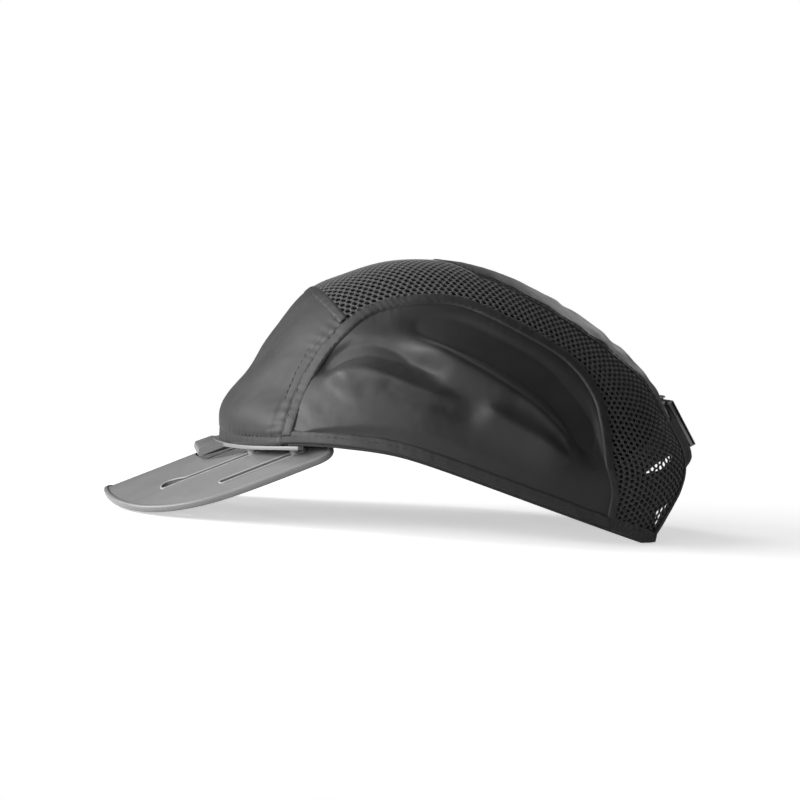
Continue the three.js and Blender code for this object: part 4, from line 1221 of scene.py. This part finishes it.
def rounded_box(low, high, bevel, segments=3):
    """Vertices and faces of a box with rounded edges."""
    bm = bmesh.new()
    bmesh.ops.create_cube(bm, size=1.0)
    low, high = np.array(low, float), np.array(high, float)
    for v in bm.verts:
        v.co = Vector((np.array(v.co) + 0.5) * (high - low) + low)
    bmesh.ops.bevel(bm, geom=bm.edges[:], offset=bevel, segments=segments, profile=0.5, affect="EDGES")
    bm.verts.ensure_lookup_table()
    points = np.array([v.co for v in bm.verts])
    faces = [[v.index for v in f.verts] for f in bm.faces]
    bm.free()
    return points, faces


def turned(radius, length, x, y, sides=28, chamfer=0.25):
    """A turned pin along the strap's width."""
    rings = [(0, 0), (radius - chamfer, 0), (radius, chamfer), (radius, length - chamfer),
             (radius - chamfer, length), (0, length)]
    a = np.linspace(0, 2 * np.pi, sides, endpoint=False)
    points = [np.stack([x + r * np.cos(a), y + r * np.sin(a), np.full(sides, h - length / 2)], -1)
              for r, h in rings]
    return np.concatenate(points), ring_faces(len(rings), sides, False)


def buckle_piece(name, shape, material, body, node):
    """A metal piece made in the buckle's frame, in place of its CAD solid."""
    vertices, faces = shape
    piece = make_piece(name, buckle_to_cap(vertices), faces, material, body, smooth_angle=35)
    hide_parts(node)


def buckle():
    """Cam-lever buckle: a pressed base with two cheeks, a hinge pin and a folded lever."""
    half_l, half_w, wall = BUCKLE_LENGTH / 2, BUCKLE_WIDTH / 2, BUCKLE_WALL
    parts = [rounded_box([-half_l, 0, -half_w - wall], [half_l, BUCKLE_FLOOR, half_w + wall], 0.35)]
    for side in (1, -1):
        low, high = sorted((side * half_w, side * (half_w + wall)))
        parts.append(rounded_box([-half_l, 0, low], [-2, 7, high], 0.5))
        parts.append(rounded_box([-2.5, 0, low], [half_l - 1.5, 2.4, high], 0.5))
    buckle_piece("buckle_base_plate", join_parts(parts), METAL, "crown", "buckle_base")

    pin = turned(HINGE_RADIUS, BUCKLE_WIDTH + 2.6, HINGE_X, HINGE_Y)
    buckle_piece("buckle_hinge_pin_turned", pin, METAL, "crown", "buckle_hinge_pin")

    reach = half_l - 0.6
    width = half_w - 0.5
    parts = [
        rounded_box([HINGE_X, 4.35, -width], [reach, 6.1, width], 0.4),
        rounded_box([reach - 2.0, 2.9, -width], [reach, 6.1, width], 0.6),
        turned(LEVER_BARREL, 2 * width, HINGE_X, HINGE_Y),
    ]
    buckle_piece("buckle_lever_flap", join_parts(parts), METAL_DARK, "lever", "buckle_lever")


# ---- studio -----------------------------------------------------------------------
VIEW_YAW, VIEW_ELEVATION, VIEW_ROLL = 8.0, 2.0, 4.15
VIEW_TARGET = (0.0, -0.0039, 0.0582)
VIEW_DISTANCE = 1.0
LENS = 90.9
SKY = 0.05
FLOOR_RADIUS = 0.6
FLOOR_GLOW = 0.5
# Area lights: name, place, target, size and power.
LIGHTS = [
    ("key", (0.35, -1.15, 0.4), (0, -0.02, 0.06), (1.3, 0.6), 24),
    ("side", (1.1, -0.55, 0.5), (0, 0, 0.06), (0.5, 0.4), 3),
    ("top", (-0.2, -0.7, 1.1), (0, 0, 0.06), (0.6, 0.6), 4),
    ("front", (-0.6, -1.0, 0.5), (0, 0, 0.07), (0.5, 0.5), 2.5),
    ("rear", (-0.9, 0.65, 0.6), (0, 0.05, 0.08), (0.5, 0.4), 1.5),
]


def camera():
    yaw, elevation = math.radians(VIEW_YAW), math.radians(VIEW_ELEVATION)
    towards = Vector((math.cos(elevation) * math.cos(yaw), -math.cos(elevation) * math.sin(yaw),
                      math.sin(elevation)))
    data = bpy.data.cameras.new("camera")
    data.lens = LENS
    data.sensor_width = 36
    data.clip_start, data.clip_end = 0.05, 50
    obj = bpy.data.objects.new("camera", data)
    right = Vector((math.sin(yaw), math.cos(yaw), 0))
    up = towards.cross(right)
    turn = Matrix((right, up, towards)).transposed()
    roll = Matrix.Rotation(math.radians(VIEW_ROLL), 3, "Z")
    place = Matrix.Translation(Vector(VIEW_TARGET) + towards * VIEW_DISTANCE)
    obj.matrix_world = place @ (turn @ roll).to_4x4()
    bpy.context.scene.collection.objects.link(obj)
    bpy.context.scene.camera = obj


def area_light(name, position, target, size, power):
    data = bpy.data.lights.new(name, "AREA")
    data.shape = "RECTANGLE"
    data.size, data.size_y = size
    data.energy = power
    obj = bpy.data.objects.new(name, data)
    obj.location = position
    obj.rotation_euler = (Vector(target) - Vector(position)).to_track_quat("-Z", "Y").to_euler()
    bpy.context.scene.collection.objects.link(obj)


def studio_floor():
    """White disc under the cap, just below the ground."""
    floor_material = Nodes("studio_floor")
    floor_material.set(Base_Color=floor_material.ramp(floor_material.noise(3, 2), [(0.3, 0.86), (0.7, 0.88)]),
                       Roughness=0.9)
    seen = floor_material.add("ShaderNodeLightPath")
    glow = floor_material.maths("MULTIPLY_ADD", (seen, "Is Camera Ray"), FLOOR_GLOW)
    glow[0].inputs[2].default_value = SKY
    floor_material.set(Emission_Color=(1, 1, 1, 1), Emission_Strength=glow)
    mesh = bpy.data.meshes.new("studio_floor")
    turns = np.linspace(0, 2 * np.pi, 96, endpoint=False)
    rim = [(FLOOR_RADIUS * math.cos(a), FLOOR_RADIUS * math.sin(a), 0) for a in turns]
    mesh.from_pydata(rim, [], [range(len(rim))])
    mesh.materials.append(floor_material.material)
    floor = bpy.data.objects.new("studio_floor", mesh)
    floor.location.z = -0.0005
    bpy.context.scene.collection.objects.link(floor)


def studio():
    """White surroundings for the camera only, the floor and the lights."""
    world = bpy.data.worlds.new("studio")
    world.use_nodes = True
    tree = world.node_tree
    background = tree.nodes["Background"]
    background.inputs["Color"].default_value = (1, 1, 1, 1)
    paths = tree.nodes.new("ShaderNodeLightPath")
    strength = tree.nodes.new("ShaderNodeMapRange")
    strength.inputs["To Min"].default_value = SKY
    strength.inputs["To Max"].default_value = 1.0
    tree.links.new(paths.outputs["Is Camera Ray"], strength.inputs["Value"])
    tree.links.new(strength.outputs["Result"], background.inputs["Strength"])
    bpy.context.scene.world = world
    studio_floor()
    for light in LIGHTS:
        area_light(*light)
    bpy.context.scene.view_settings.view_transform = "Standard"
    bpy.context.scene.view_settings.look = "None"


# ---- assembly -----------------------------------------------------------------------
camera()
studio()
for hand in (1, -1):
    side_panel(hand)
    side_tape(hand)
    hem(hand)
front_panel()
front_seam_tape()
centre_panel()
mesh_panel()
rear_arch()
brow_edge()
hard_shell()
foam_pads()
peak_plate()
peak_edge()
slot_lips()
peak_carrier()
strap("left_strap", STRAP_END_X, LEFT_STRAP_FREE_X)
strap("right_strap", -STRAP_END_X, RIGHT_STRAP_X)
buckle()
# The guide pins get the lighter plastic copy: a painted highlight.
for pin_name in [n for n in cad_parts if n.endswith("_guide_pin")]:
    pin_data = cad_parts[pin_name].data
    pin_data.materials.clear()
    pin_data.materials.append(PEAK_PAINTED_HIGHLIGHT)
